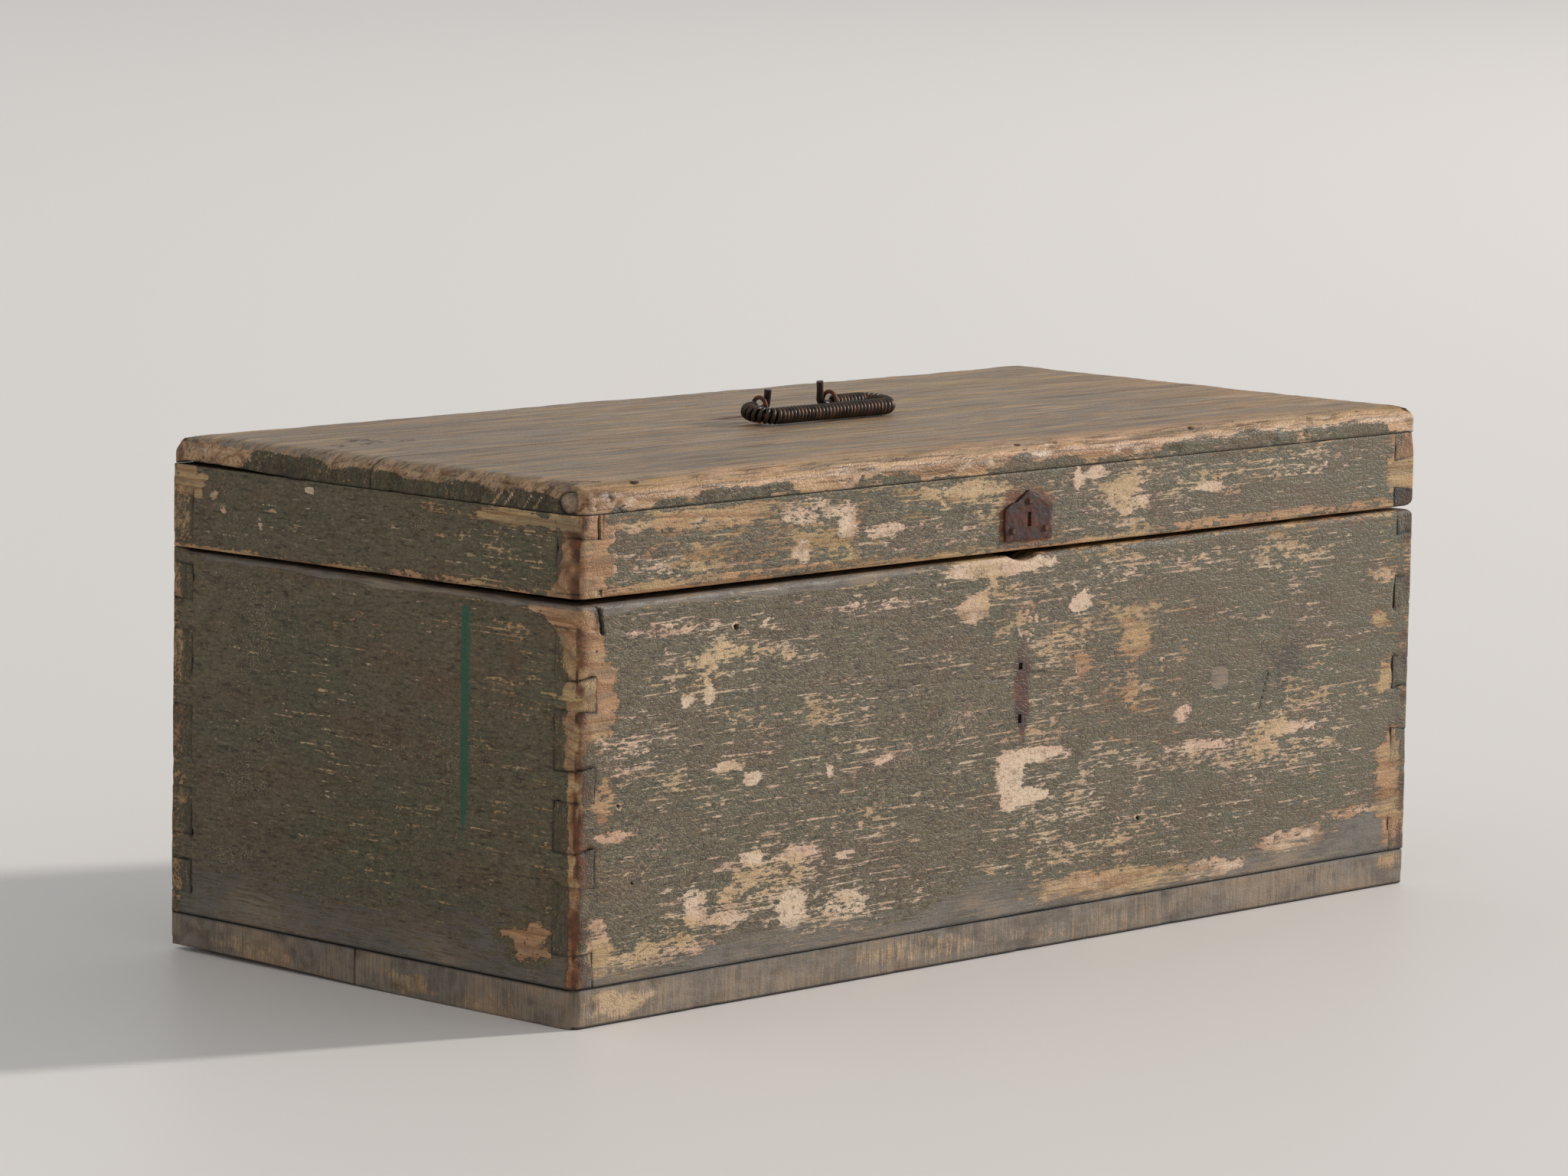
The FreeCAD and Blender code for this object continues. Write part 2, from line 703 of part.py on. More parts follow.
def bail_points():
    """The bent wire from the left stub round the grip to the right stub."""
    bend = bail_bend_radius
    right = Vector(1, 0, 0)
    left_turn = bail_point(bail_left_turn_x, turn_radius, 0)
    right_turn = bail_point(bail_right_turn_x, turn_radius, 0)
    points = [bail_point(left_stub_x, 0, left_stub_height)]
    points += arc_points(bail_point(left_stub_x - bend, 0, bend), right * bend, bail_up * -bend, 90)
    points += arc_points(left_turn, bail_along * -turn_radius, right * -turn_radius, 180)
    points += arc_points(right_turn, bail_along * turn_radius, right * turn_radius, 180)
    points += arc_points(bail_point(right_stub_x + bend, 0, bend), bail_up * -bend, right * -bend, 90)
    points.append(bail_point(right_stub_x, 0, right_stub_height))
    return points


def wrap_stations():
    """Where the wrapped wire's grooves and crests lie: half a turn apart on the straights, and wider
    apart round the bends, where the turns close up on the inside and fan out on the outside."""
    half = wrap_pitch / 2
    inner_radius = turn_radius - bail_wire_radius - wrap_wire_diameter / 2
    half_angle = half / inner_radius
    stations = []
    turn_steps = 2 * max(1, round(math.pi / (2 * half_angle)))
    grip_steps = 2 * max(1, round((bail_right_turn_x - bail_left_turn_x) / wrap_pitch))
    arm_end = right_eye_x + eye_wire_radius + 2 * rest_gap
    arm_steps = 2 * max(1, round((bail_right_turn_x - arm_end) / wrap_pitch))
    for i in range(turn_steps):
        angle = math.pi * i / turn_steps
        stations.append((bail_left_turn_x - turn_radius * math.sin(angle),
                         turn_radius * (1 - math.cos(angle)), -math.cos(angle), math.sin(angle)))
    for i in range(grip_steps):
        x = bail_left_turn_x + (bail_right_turn_x - bail_left_turn_x) * i / grip_steps
        stations.append((x, bail_spread, 1, 0))
    for i in range(turn_steps):
        angle = math.pi * i / turn_steps
        stations.append((bail_right_turn_x + turn_radius * math.sin(angle),
                         turn_radius * (1 + math.cos(angle)), math.cos(angle), -math.sin(angle)))
    for i in range(arm_steps + 1):
        x = bail_right_turn_x + (arm_end - bail_right_turn_x) * i / arm_steps
        stations.append((x, 0, -1, 0))
    return stations


def wrap_section(station, radius):
    """One ring of the wrap, many-sided, square to the bail at that place."""
    x, along, dx, dy = station
    centre = bail_point(x, along, 0)
    across = Vector(-dy, 0, 0) + bail_along * dx
    angles = [2 * math.pi * i / wire_sides for i in range(wire_sides)]
    return [centre + across * (radius * math.cos(a)) + bail_up * (radius * math.sin(a)) for a in angles]


def handle_coil():
    """Wire wrapped tightly round the bail: a sleeve of crests and grooves that follows the bent wire."""
    rings = []
    for i, station in enumerate(wrap_stations()):
        rings.append(wrap_section(station, wrap_radius if i % 2 else wrap_radius - wrap_groove_depth))
    bore = bent_wire(bail_points(), bail_wire_radius + wrap_clearance, Vector(1, 0, 0))
    return facet_solid(rings).cut(bore)


# --- till ---

till_left = inner_left + till_side_gap
till_right = till_left + till_length
till_front_y = inner_front + till_side_gap
till_back_y = inner_back - till_side_gap
z_till_wall = z_till + till_bottom_thickness
till_spans = tail_spans(till_pins, till_tails, z_till_wall, z_till_top)


def till_nail_spots():
    """Pins through the till's bottom into its front and back, as x and y."""
    step = till_length / till_nail_count
    spots = []
    for y in (till_front_y + till_wall / 2, till_back_y - till_wall / 2):
        spots += [(till_left + (i + 0.5) * step, y) for i in range(till_nail_count)]
    return spots


till_nail_places = [(Vector(x, y, z_till), Vector(0, 0, 1)) for x, y in till_nail_spots()]
till_nail_holes = [place(nail_hole(till_nail, 0), *spot) for spot in till_nail_places]


def till_side(front):
    y0 = till_front_y if front else till_back_y - till_wall
    side = tail_board(till_left, till_right, y0, y0 + till_wall, z_till_wall, z_till_top, z_till_top,
                      till_spans, till_spans, till_wall)
    return side.cut(till_nail_holes)


def till_end(left):
    x0 = till_left if left else till_right - till_wall
    outer_x = till_left if left else till_right
    heights = (z_till_wall, z_till_top)
    return pin_board(x0, x0 + till_wall, till_front_y, till_back_y, heights, heights,
                     outer_x, till_wall, till_spans, till_spans)


def till_bottom():
    board = box(till_left, till_right, till_front_y, till_back_y, z_till, z_till_wall)
    return board.cut(till_nail_holes)


def till_divider():
    """A thin board across the middle of the till, between its front and back."""
    x0 = (till_left + till_right - till_divider_thickness) / 2
    return box(x0, x0 + till_divider_thickness, till_front_y + till_wall, till_back_y - till_wall,
               z_till_wall, z_till_top)


# --- every node ---

base_front, base_rear = base_boards()
save("base_board_front", base_front)
save("base_board_rear", base_rear)
save("base_nails", Part.makeCompound(board_nails(base_nail_spots, 0, True)))
save("front_board", front_board())
save("back_board", back_board())
save("left_end_board", end_board(True))
save("right_end_board", end_board(False))
save("front_runner", runner(True))
save("back_runner", runner(False))
save("runner_nails", runner_nails())

save("left_hinge_lower_leaf", hinge_leaf(hinge_centres[0], False))
save("right_hinge_lower_leaf", hinge_leaf(hinge_centres[1], False))
save("left_hinge_upper_leaf", hinge_leaf(hinge_centres[0], True))
save("right_hinge_upper_leaf", hinge_leaf(hinge_centres[1], True))
save("hinge_pins", Part.makeCompound([hinge_pin(centre) for centre in hinge_centres]))
save("lower_hinge_nails", Part.makeCompound(hinge_nail_copies(standing_nail(hinge_nail), False)))
save("upper_hinge_nails", Part.makeCompound(hinge_nail_copies(standing_nail(hinge_nail), True)))

lid_front_board, lid_rear_board = lid_top_boards()
save("lid_top_board_front", lid_front_board)
save("lid_top_board_rear", lid_rear_board)
save("lid_front_rail", lid_side_rail(True))
save("lid_back_rail", lid_side_rail(False))
save("lid_left_rail", lid_end_rail(True))
save("lid_right_rail", lid_end_rail(False))
save("lid_nails", Part.makeCompound(board_nails(lid_nail_spots, z_top, False)))
save("clasp_plate", clasp_plate())
save("clasp_plate_nails", Part.makeCompound(plate_nail_copies(standing_nail(plate_nail))))
save("left_handle_eye", handle_eye(left_eye_x))
save("right_handle_eye", handle_eye(right_eye_x))

save("handle_bail", bent_wire(bail_points(), bail_wire_radius, Vector(1, 0, 0)))
save("handle_coil", handle_coil())

save("till_front", till_side(True))
save("till_back", till_side(False))
save("till_left_end", till_end(True))
save("till_right_end", till_end(False))
save("till_bottom", till_bottom())
save("till_divider", till_divider())
save("till_nails", Part.makeCompound([place(nail(till_nail), *spot) for spot in till_nail_places]))
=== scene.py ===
import math
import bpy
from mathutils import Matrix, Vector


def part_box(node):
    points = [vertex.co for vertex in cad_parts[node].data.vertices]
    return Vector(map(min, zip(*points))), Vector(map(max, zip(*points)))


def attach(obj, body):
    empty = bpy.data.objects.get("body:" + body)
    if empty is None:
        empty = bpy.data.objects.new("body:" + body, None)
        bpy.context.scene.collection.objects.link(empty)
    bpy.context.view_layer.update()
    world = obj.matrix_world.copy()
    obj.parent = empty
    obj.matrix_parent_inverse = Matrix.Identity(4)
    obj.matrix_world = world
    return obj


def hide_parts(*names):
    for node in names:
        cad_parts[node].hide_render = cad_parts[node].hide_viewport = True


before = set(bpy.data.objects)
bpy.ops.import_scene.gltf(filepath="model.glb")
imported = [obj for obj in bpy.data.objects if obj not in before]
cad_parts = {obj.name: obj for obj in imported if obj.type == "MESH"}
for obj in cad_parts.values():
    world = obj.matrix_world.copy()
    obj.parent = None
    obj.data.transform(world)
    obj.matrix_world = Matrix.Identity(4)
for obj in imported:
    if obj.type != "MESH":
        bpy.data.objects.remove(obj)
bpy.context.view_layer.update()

from types import SimpleNamespace
import bpy
import numpy as np
from mathutils import Matrix

toMetres = 0.001      # every size below is in millimetres


# a repeatable value from 0 to 1 for each whole-number cell
def cellValue(x, y, z, seed):
    n = (x * 73856093) ^ (y * 19349663) ^ (z * 83492791) ^ (seed * 40503)
    n = (n ^ (n >> 13)) * 1274126177
    return ((n ^ (n >> 16)) & 65535) / 65535


# smooth noise from -1 to 1: values on a lattice of that size, blended by 3t^2 - 2t^3 along each axis
def softNoise(p, size, seed):
    q = p / np.asarray(size, float) + 100.5
    cell = np.floor(q).astype(np.int64)
    t = q - cell
    t = t * t * (3 - 2 * t)
    total = 0
    for dx in (0, 1):
        for dy in (0, 1):
            for dz in (0, 1):
                weight = np.prod(np.where([dx, dy, dz], t, 1 - t), axis=1)
                total = total + weight * cellValue(cell[:, 0] + dx, cell[:, 1] + dy, cell[:, 2] + dz, seed)
    return 2 * total - 1


# 0 before the start and 1 after the end: 3t^2 - 2t^3 of the share t of the way between them
def ramp(value, start, end):
    t = np.clip((value - start) / (end - start), 0, 1)
    return t * t * (3 - 2 * t)


# the lower and upper corner of a node's box, in millimetres
def nodeBox(name):
    low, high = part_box(name)
    return np.array(low) / toMetres, np.array(high) / toMetres


wallLow, wallHigh = nodeBox("front_board")
backLow, backHigh = nodeBox("back_board")
railLow, railHigh = nodeBox("lid_back_rail")
topLow, topHigh = nodeBox("lid_top_board_front")
railFrontLow = nodeBox("lid_front_rail")[0][2]
xLeft, xRight = wallLow[0], wallHigh[0]
yFront, yBack = wallLow[1], backHigh[1]
zBase, zSplit, zRailTop, zTop = wallLow[2], railLow[2], railHigh[2], topHigh[2]


# bottom and top of each tail, with the hand-cut widths stretched to the height; a joint starts on a pin
def tailSpans(pins, tails, low, high):
    widths = np.ravel(np.column_stack([pins[:len(tails)], tails]))
    edges = low + np.cumsum(widths) * (high - low) / (sum(pins) + sum(tails))
    return edges.reshape(-1, 2)


frontSpans = tailSpans([19.5, 19.0, 17.5, 17.5, 14.5], [40.5, 29.5, 35.0, 30.0], zBase, zSplit)
backSpans = tailSpans([13.4, 15.8, 19.7, 13.0, 18.2, 9.1], [20.1, 28.3, 30.2, 33.1, 22.1], zBase, zSplit)
lidLeftSpans = tailSpans([3.6, 12.6], [33.3], zSplit, zRailTop)
lidRightSpans = tailSpans([12.5, 15.5], [21.0], zSplit, zRailTop)


# grid lines through every stop, fine beside the stops and coarser between them
def gridLines(stops, fine, coarse, reach):
    stops = np.unique(np.round(stops, 4))
    lines = [stops[:1]]
    for start, end in zip(stops, stops[1:]):
        places = np.linspace(start, end, 300)
        near = np.minimum(places - start, end - places)
        step = fine + (coarse - fine) * np.clip(near / reach, 0, 1)
        count = np.concatenate(([0], np.cumsum(np.diff(places) / step[1:])))
        steps = max(1, round(count[-1]))
        lines.append(np.interp(np.linspace(0, count[-1], steps + 1)[1:], count, places))
    return np.concatenate(lines)


# the skin of a slab: the kept cells of a grid give two sheets, and a wall stands where a kept cell meets none
def slabFaces(keep, layers):
    na, nb = keep.shape
    index = np.arange((na + 1) * (nb + 1) * (layers + 1)).reshape(na + 1, nb + 1, layers + 1)
    quads = []

    def add(i, j, k, corners):
        shifted = [index[i + a, j + b, k + c] for a, b, c in corners]
        quads.append(np.stack(np.broadcast_arrays(*shifted), -1).reshape(-1, 4))

    i, j = np.nonzero(keep)
    add(i, j, layers, [(0, 0, 0), (1, 0, 0), (1, 1, 0), (0, 1, 0)])
    add(i, j, 0, [(0, 0, 0), (0, 1, 0), (1, 1, 0), (1, 0, 0)])
    padded = np.pad(keep, 1)
    walls = [
        (padded[:-2, 1:-1], [(0, 0, 0), (0, 0, 1), (0, 1, 1), (0, 1, 0)]),
        (padded[2:, 1:-1], [(1, 0, 0), (1, 1, 0), (1, 1, 1), (1, 0, 1)]),
        (padded[1:-1, :-2], [(0, 0, 0), (1, 0, 0), (1, 0, 1), (0, 0, 1)]),
        (padded[1:-1, 2:], [(0, 1, 0), (0, 1, 1), (1, 1, 1), (1, 1, 0)]),
    ]
    for neighbour, corners in walls:
        i, j = np.nonzero(keep & ~neighbour)
        add(i[:, None], j[:, None], np.arange(layers)[None, :], corners)
    return np.concatenate(quads)


# a smooth mesh with sharp edges above that angle in degrees, and its marks as point attributes
def newPiece(name, points, faces, sharp=35, marks=None):
    mesh = bpy.data.meshes.new(name)
    mesh.vertices.add(len(points))
    mesh.vertices.foreach_set("co", (points * toMetres).astype(np.float32).ravel())
    corners = np.concatenate([np.ravel(f) for f in faces])
    sizes = np.concatenate([np.full(len(f), f.shape[1]) for f in faces])
    mesh.loops.add(len(corners))
    mesh.loops.foreach_set("vertex_index", corners.astype(np.int32))
    mesh.polygons.add(len(sizes))
    mesh.polygons.foreach_set("loop_start", np.concatenate(([0], np.cumsum(sizes)[:-1])).astype(np.int32))
    mesh.polygons.foreach_set("use_smooth", np.ones(len(sizes), bool))
    mesh.update(calc_edges=True)
    mesh.set_sharp_from_angle(angle=math.radians(sharp))
    for key, values in (marks or {}).items():
        attribute = mesh.attributes.new(key, "FLOAT_VECTOR", "POINT")
        attribute.data.foreach_set("vector", values.astype(np.float32).ravel())
    piece = bpy.data.objects.new(name, mesh)
    bpy.context.scene.collection.objects.link(piece)
    return piece


# gives a piece its material, the nodes that it replaces and the body that it rides on
def finishPiece(piece, material, body, nodes):
    piece.data.materials.append(material)
    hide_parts(*nodes)
    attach(piece, body)
    return piece


# a hex colour as written on screen, turned to linear light
def linear(hexColour):
    value = np.array([int(hexColour[i:i + 2], 16) for i in (1, 3, 5)]) / 255
    value = np.where(value <= 0.04045, value / 12.92, ((value + 0.055) / 1.055) ** 2.4)
    return (*value.tolist(), 1.0)


# adds a node; each setting is one of its own properties, the value of an input, or an output that the input
# joins
def addNode(tree, kind, settings=None):
    node = tree.nodes.new(kind)
    for key, value in (settings or {}).items():
        if isinstance(value, bpy.types.NodeSocket):
            tree.links.new(value, node.inputs[key])
        elif key == "stops":
            for i, (place, colour) in enumerate(value):
                stop = node.color_ramp.elements[i] if i < 2 else node.color_ramp.elements.new(place)
                stop.position = place
                stop.color = linear(colour)
        elif isinstance(key, int) or key in node.inputs:
            node.inputs[key].default_value = linear(value) if isinstance(value, str) else value
        else:
            setattr(node, key, value)
    return node


# a material with nothing but its shader and its output
def newMaterial(name):
    material = bpy.data.materials.new(name)
    material.use_nodes = True
    tree = material.node_tree
    tree.nodes.clear()
    shader = addNode(tree, "ShaderNodeBsdfPrincipled")
    addNode(tree, "ShaderNodeOutputMaterial", {"Surface": shader.outputs[0]})
    return material, tree, shader


# Scots pine, planed by hand, painted grey-green over a pale ground and worn for a century: chips with dark
# rims, partly dirt and partly painted shadow of the paint's broken edge, show the ground, worn edges show
# orange wood, and a thin grey coat is brushed over the lower parts.
pineLook = dict(
    grain=0,                      # the axis that the grain runs along
    log=0.0,                      # another value gives a board with other grain
    brush=0,                      # the axis that the grey coat was brushed along
    olive="#6a5e46", greyGreen="#5f5a43", moss="#53533a", umber="#69523b", dark="#34291e", chalk="#95856a",
    cream="#e6ceb2", blush="#e0bda4", straw="#d4b487", stainedGround="#7d654d",
    earlyWood="#bb8f69", yellowWood="#be9f72", freshWood="#cfa784", lateWood="#94683f", fibreDark="#5b4029",
    cool="#7d756c", coolDark="#635c54", coolWarm="#98836c", coolCover=0.92,
    patina="#6f6152", patinaAmount=0.15,
    endGrain="#3d3726", dent="#2e2118", line="#235840", rust="#4d2c1d", rustBright="#7c4629",
    grime="#1a140f", wormHole="#17120d",
    growthSize=81.0,              # of the noise whose contour lines are the growth rings, about 9 mm apart
    fibreWidth=1.1, fibreDepth=0.55,
    chipHeight=8.0,               # across the grain
    flake=3.0,                    # from one crack in the paint to the next, across the grain
    fleckHeight=1.9, fleckStretch=3.4,
    fleckAmount=0.0,              # adds to how many fine flecks are lost
    lineAmount=0.0,               # and how many fine scratches show
    chipAmount=0.0,               # adds to how much paint is lost
    timber=0.0,                   # adds to how much wood shows in the bare parts
    remains=0.25,                 # 0 leaves flecks of paint within the chips, 1 none
    mottleSize=2.3, mottleDepth=0.85,
    gritSpan=(-0.1, 0.3),         # in metres along the chest, where the paint turns smoother
    gritLeast=0.35,               # how much of its grit is left there
    paintThickness=0.4,           # thicker than real paint, so that its broken edge catches light
    paintRoughness=0.52, woodRoughness=0.62, shine=0.35,
    wormCell=14.0, wormShare=0.05,                           # at most one hole a cell, in this share
    streaks=0.0, streakWidth=2.2, streakColour="#58493b",    # dark weather streaks on bare wood
    honey=0.0, honeyWidth=5.0, honeyColour="#c39a62",        # and yellow ones
    streakReach=45,                                          # how long both run
)

# The noises of the pine: the axis that each runs along, how far it is drawn out on it, its size across in
# millimetres, detail, roughness and shift. A word stands for the value of that name in the look.
pineNoises = dict(
    broad=("grain", 2.5, 30, 3.0, 0.5, 0.0),
    broadToo=("grain", 1.8, 42, 3.0, 0.5, 7.0),
    cloud=("grain", 2.2, 9, 6.0, 0.7, 0.0),
    ragged=("grain", 1.6, "chipHeight", 8.0, 0.72, 0.0),
    mottle=("grain", 1.5, "mottleSize", 6.0, 0.8, 23.0),
    fleck=("grain", "fleckStretch", "fleckHeight", 5.0, 0.7, 0.0),
    fine=("grain", 5, 1.8, 4.0, 0.75, 37.0),
    scratch=("grain", 26, 1.6, 2.0, 0.6, 3.0),
    fibre=("grain", 22, "fibreWidth", 3.0, 0.65, 0.0),
    speck=("grain", 1.5, 0.9, 2.0, 0.6, 0.0),
    growth=("grain", 22, "growthSize", 1.5, 0.5, 0.0),
    skin=("grain", 7, 7.0, 5.0, 0.6, 0.0),
    honey=("grain", "streakReach", "honeyWidth", 4.0, 0.6, 17.0),
    streak=("grain", "streakReach", "streakWidth", 5.0, 0.7, 13.0),
    brown=("grain", 3, 24, 4.0, 0.6, 11.0),
    bristle=("brush", 18, 1.3, 4.0, 0.7, 5.0),
    fibreEnds=(2, 7, 1.9, 4.0, 0.7, 29.0),
    dentShape=("grain", 3.0, 2.6, 3.0, 0.6, 31.0),
)

# the marks that each board carries at its points, three to an attribute; the second, for dirt, also carries
# painted shade in the joint over the base and a painted contact shadow along its foot
markNames = dict(wear=("bare", "grime", "cool"), stain=("rust", "timber", "green"),
                 cut=("dents", "endGrain", "fresh"))


# the pine's material: wood, ground, paint, what is lost of it, the grey coat and the stains, then the bumps
def agedPine(name, **changes):
    look = {**pineLook, **changes}
    material, tree, shader = newMaterial(name)
    place = addNode(tree, "ShaderNodeTexCoord").outputs["Object"]
    fields = dict(across=addNode(tree, "ShaderNodeSeparateXYZ", {0: place}).outputs[0])
    for attribute, names in markNames.items():
        values = addNode(tree, "ShaderNodeAttribute", {"attribute_name": attribute}).outputs["Vector"]
        fields.update(zip(names, addNode(tree, "ShaderNodeSeparateXYZ", {0: values}).outputs))

    # object coordinates in millimetres, pressed together along one axis so that a pattern runs along it
    vectors = {}
    for key, (axis, *numbers) in pineNoises.items():
        stretch, size, detail, roughness, shift = (look.get(number, number) for number in numbers)
        scale = [1 / toMetres] * 3
        scale[look.get(axis, axis)] /= stretch
        pressed = {"Scale": scale, "Location": [shift + look["log"]] * 3, "Vector": place}
        vectors[key] = addNode(tree, "ShaderNodeMapping", pressed).outputs[0]
        noise = {"Scale": 1 / size, "Detail": detail, "Roughness": roughness, "Vector": vectors[key]}
        fields[key] = addNode(tree, "ShaderNodeTexNoise", noise).outputs["Fac"]

    # a field by its name, or an output as it is
    def find(value):
        return fields[value] if isinstance(value, str) else value

    # a constant plus fields, each times its share
    def total(constant, *terms):
        result = constant
        for share, value in terms:
            term = {"operation": "MULTIPLY_ADD", 0: find(value), 1: share, 2: result}
            result = addNode(tree, "ShaderNodeMath", term).outputs[0]
        return result

    # Masks multiplied together. A mask is a field, and where only a range of it counts also the range's two
    # ends and the mask's values there, 0 and 1 unless they are given.
    def product(*masks):
        result = None
        for mask in masks:
            value, *span = mask if isinstance(mask, tuple) else (mask,)
            value = find(value)
            if span:
                start, end, low, high = (*span, 0.0, 1.0)[:4]
                span = {"From Min": start, "From Max": end, "To Min": low, "To Max": high, "Value": value}
                value = addNode(tree, "ShaderNodeMapRange", span).outputs[0]
            if result is not None:
                factors = {"operation": "MULTIPLY", 0: result, 1: value}
                value = addNode(tree, "ShaderNodeMath", factors).outputs[0]
            result = value
        return result

    # coats laid over a colour, one after another, each a colour and the masks whose product is its share
    def coats(colour, *layers):
        for tint, *masks in layers:
            coat = {"data_type": "RGBA", 0: product(*masks), 6: colour, 7: tint}
            colour = addNode(tree, "ShaderNodeMix", coat).outputs[2]
        return colour

    # the paint cracks into small flakes; each flake is lost or kept as a whole, by the noise at its middle
    flakes = {"Scale": 1 / look["flake"], "Vector": vectors["ragged"]}
    cracked = addNode(tree, "ShaderNodeTexVoronoi", {"feature": "DISTANCE_TO_EDGE", **flakes})
    middle = addNode(tree, "ShaderNodeTexVoronoi", flakes).outputs["Position"]
    noise = {"Scale": 1 / look["chipHeight"], "Detail": 8.0, "Roughness": 0.72, "Vector": middle}
    fields["crackle"] = cracked.outputs["Distance"]
    fields["flaked"] = addNode(tree, "ShaderNodeTexNoise", noise).outputs["Fac"]

    # growth rings: contour lines of a broad noise, each one pale early wood that ends in a dark late line;
    # then dark fibres, a grey skin where it has aged, and weather streaks
    contours = {"operation": "FRACT", 0: total(0.0, (20.0, "growth"))}
    fields["rings"] = addNode(tree, "ShaderNodeMath", contours).outputs[0]
    notFresh = {"operation": "SUBTRACT", "use_clamp": True, 0: 1.0, 1: fields["fresh"]}
    fields["aged"] = addNode(tree, "ShaderNodeMath", notFresh).outputs[0]
    skin = total(0.35 * look["patinaAmount"], (1.0, "skin"))
    wood = coats(look["earlyWood"],
                 (look["yellowWood"], ("broad", 0.42, 0.58)),
                 (look["freshWood"], "fresh", ("cloud", 0.35, 0.6, 0.5, 0.95)),
                 (look["lateWood"], ("rings", 0.55, 0.88), ("rings", 0.97, 0.9, 0.0, 0.8)),
                 (look["fibreDark"], ("fibre", 0.48, 0.64, 0.0, look["fibreDepth"])),
                 (look["fibreDark"], ("mottle", 0.55, 0.66, 0.0, 0.55)),
                 (look["patina"], (skin, 0.56, 0.66, 0.0, min(1.0, 0.3 + look["patinaAmount"])), "aged"),
                 (look["honeyColour"], ("honey", 0.5, 0.6, 0.0, look["honey"])),
                 (look["streakColour"], ("streak", 0.49, 0.6, 0.0, look["streaks"]),
                  ("aged", 0.0, 1.0, 0.4, 1.0)))

    # the pale ground under the paint, with the wood showing through where it wore further
    ground = coats(look["cream"],
                   (look["blush"], ("broadToo", 0.42, 0.58)),
                   (look["straw"], ("broad", 0.54, 0.62, 0.0, 0.75)))
    grained = {"data_type": "RGBA", "blend_type": "MULTIPLY", 0: 0.12, 6: ground, 7: wood}
    ground = addNode(tree, "ShaderNodeMix", grained).outputs[2]
    ground = coats(ground,
                   (look["stainedGround"], ("mottle", 0.53, 0.62, 0.0, 0.8)),
                   (look["patina"], ("cloud", 0.56, 0.66, 0.0, 0.4)),
                   (wood, (total(look["timber"] - 0.35, (1.0, "timber"), (1.0, "cloud")), 0.25, 0.55)))

    # the paint: greys in cloudy patches with moss and brown among them, gritty and crackled, its cracks
    # darkened, partly dirt and partly painted shade in the grooves
    grit = ("across", *look["gritSpan"], 1.0, look["gritLeast"])
    paint = coats(look["olive"],
                  (look["greyGreen"], ("broad", 0.4, 0.6)),
                  (look["moss"], ("broadToo", 0.5, 0.64, 0.0, 0.6)),
                  (look["umber"], ("brown", 0.5, 0.64, 0.0, 0.6)),
                  (look["chalk"], ("mottle", 0.45, 0.36, 0.0, 0.5), grit),
                  (look["dark"], ("mottle", 0.53, 0.62, 0.0, look["mottleDepth"]), grit),
                  (look["dark"], ("fine", 0.55, 0.63, 0.0, 0.85), grit),
                  (look["chalk"], ("fine", 0.43, 0.35, 0.0, 0.75), ("cloud", 0.45, 0.6, 0.35, 1.0), grit),
                  (look["dark"], ("cloud", 0.52, 0.72, 0.0, 0.5)),
                  (look["dark"], ("crackle", 0.0, 0.09, 0.35, 0.0)))

    # Whole flakes and their crumbled rims are lost where a sum of noises passes a level, more of them as the
    # wear grows. Fine flecks, scratches and dots come in patches.
    worn = total(look["chipAmount"] - 2.68, (1.1, "ragged"), (1.8, "flaked"), (1.0, "fleck"), (1.1, "mottle"),
                 (1.0, "bare"))
    patchy = total(-0.85, (0.8, "broad"), (0.9, "cloud"), (0.45, "bare"))
    flecks = total(look["fleckAmount"] - 0.85, (1.2, "fleck"), (0.5, "mottle"), (1.0, patchy))
    lines = total(look["lineAmount"] - 0.85, (1.0, "scratch"), (0.8, "fleck"), (0.6, patchy))
    dots = total(-0.8, (1.0, "speck"), (0.6, "broadToo"))
    crumbs = total(-0.6, (1.1, "fleck"), (1.1, "mottle"))
    peeled = {"operation": "MAXIMUM", 0: product((crumbs, 0.24, 0.3, look["remains"], 1.0)),
              1: product(("bare", 1.4, 1.45))}
    lost = product((worn, 0.42, 0.455), addNode(tree, "ShaderNodeMath", peeled).outputs[0])
    for mask in ((flecks, 0.21, 0.25, 0.0, 0.95), (dots, 0.16, 0.21, 0.0, 0.5),
                 (lines, 0.19, 0.23, 0.0, 0.85)):
        either = {"operation": "MAXIMUM", 0: lost, 1: product(mask)}
        lost = addNode(tree, "ShaderNodeMath", either).outputs[0]

    # the thin grey coat, missing where the brush skipped; along the walls' top edge the same colour is a
    # painted highlight
    skips = {"operation": "ADD", 0: fields["bristle"], 1: fields["broadToo"]}
    skipped = addNode(tree, "ShaderNodeMath", skips).outputs[0]
    coat = coats(look["cool"],
                 (look["coolDark"], ("cloud", 0.4, 0.6)),
                 (look["coolDark"], ("bristle", 0.5, 0.66, 0.0, 0.6)),
                 (look["coolWarm"], (skipped, 1.04, 0.84, 0.0, 0.8)))
    covered = product((total(-0.65, (1.0, "cool"), (1.3, "bristle"), (0.35, "cloud")), 0.38, 0.62, 0.0,
                       look["coolCover"]))
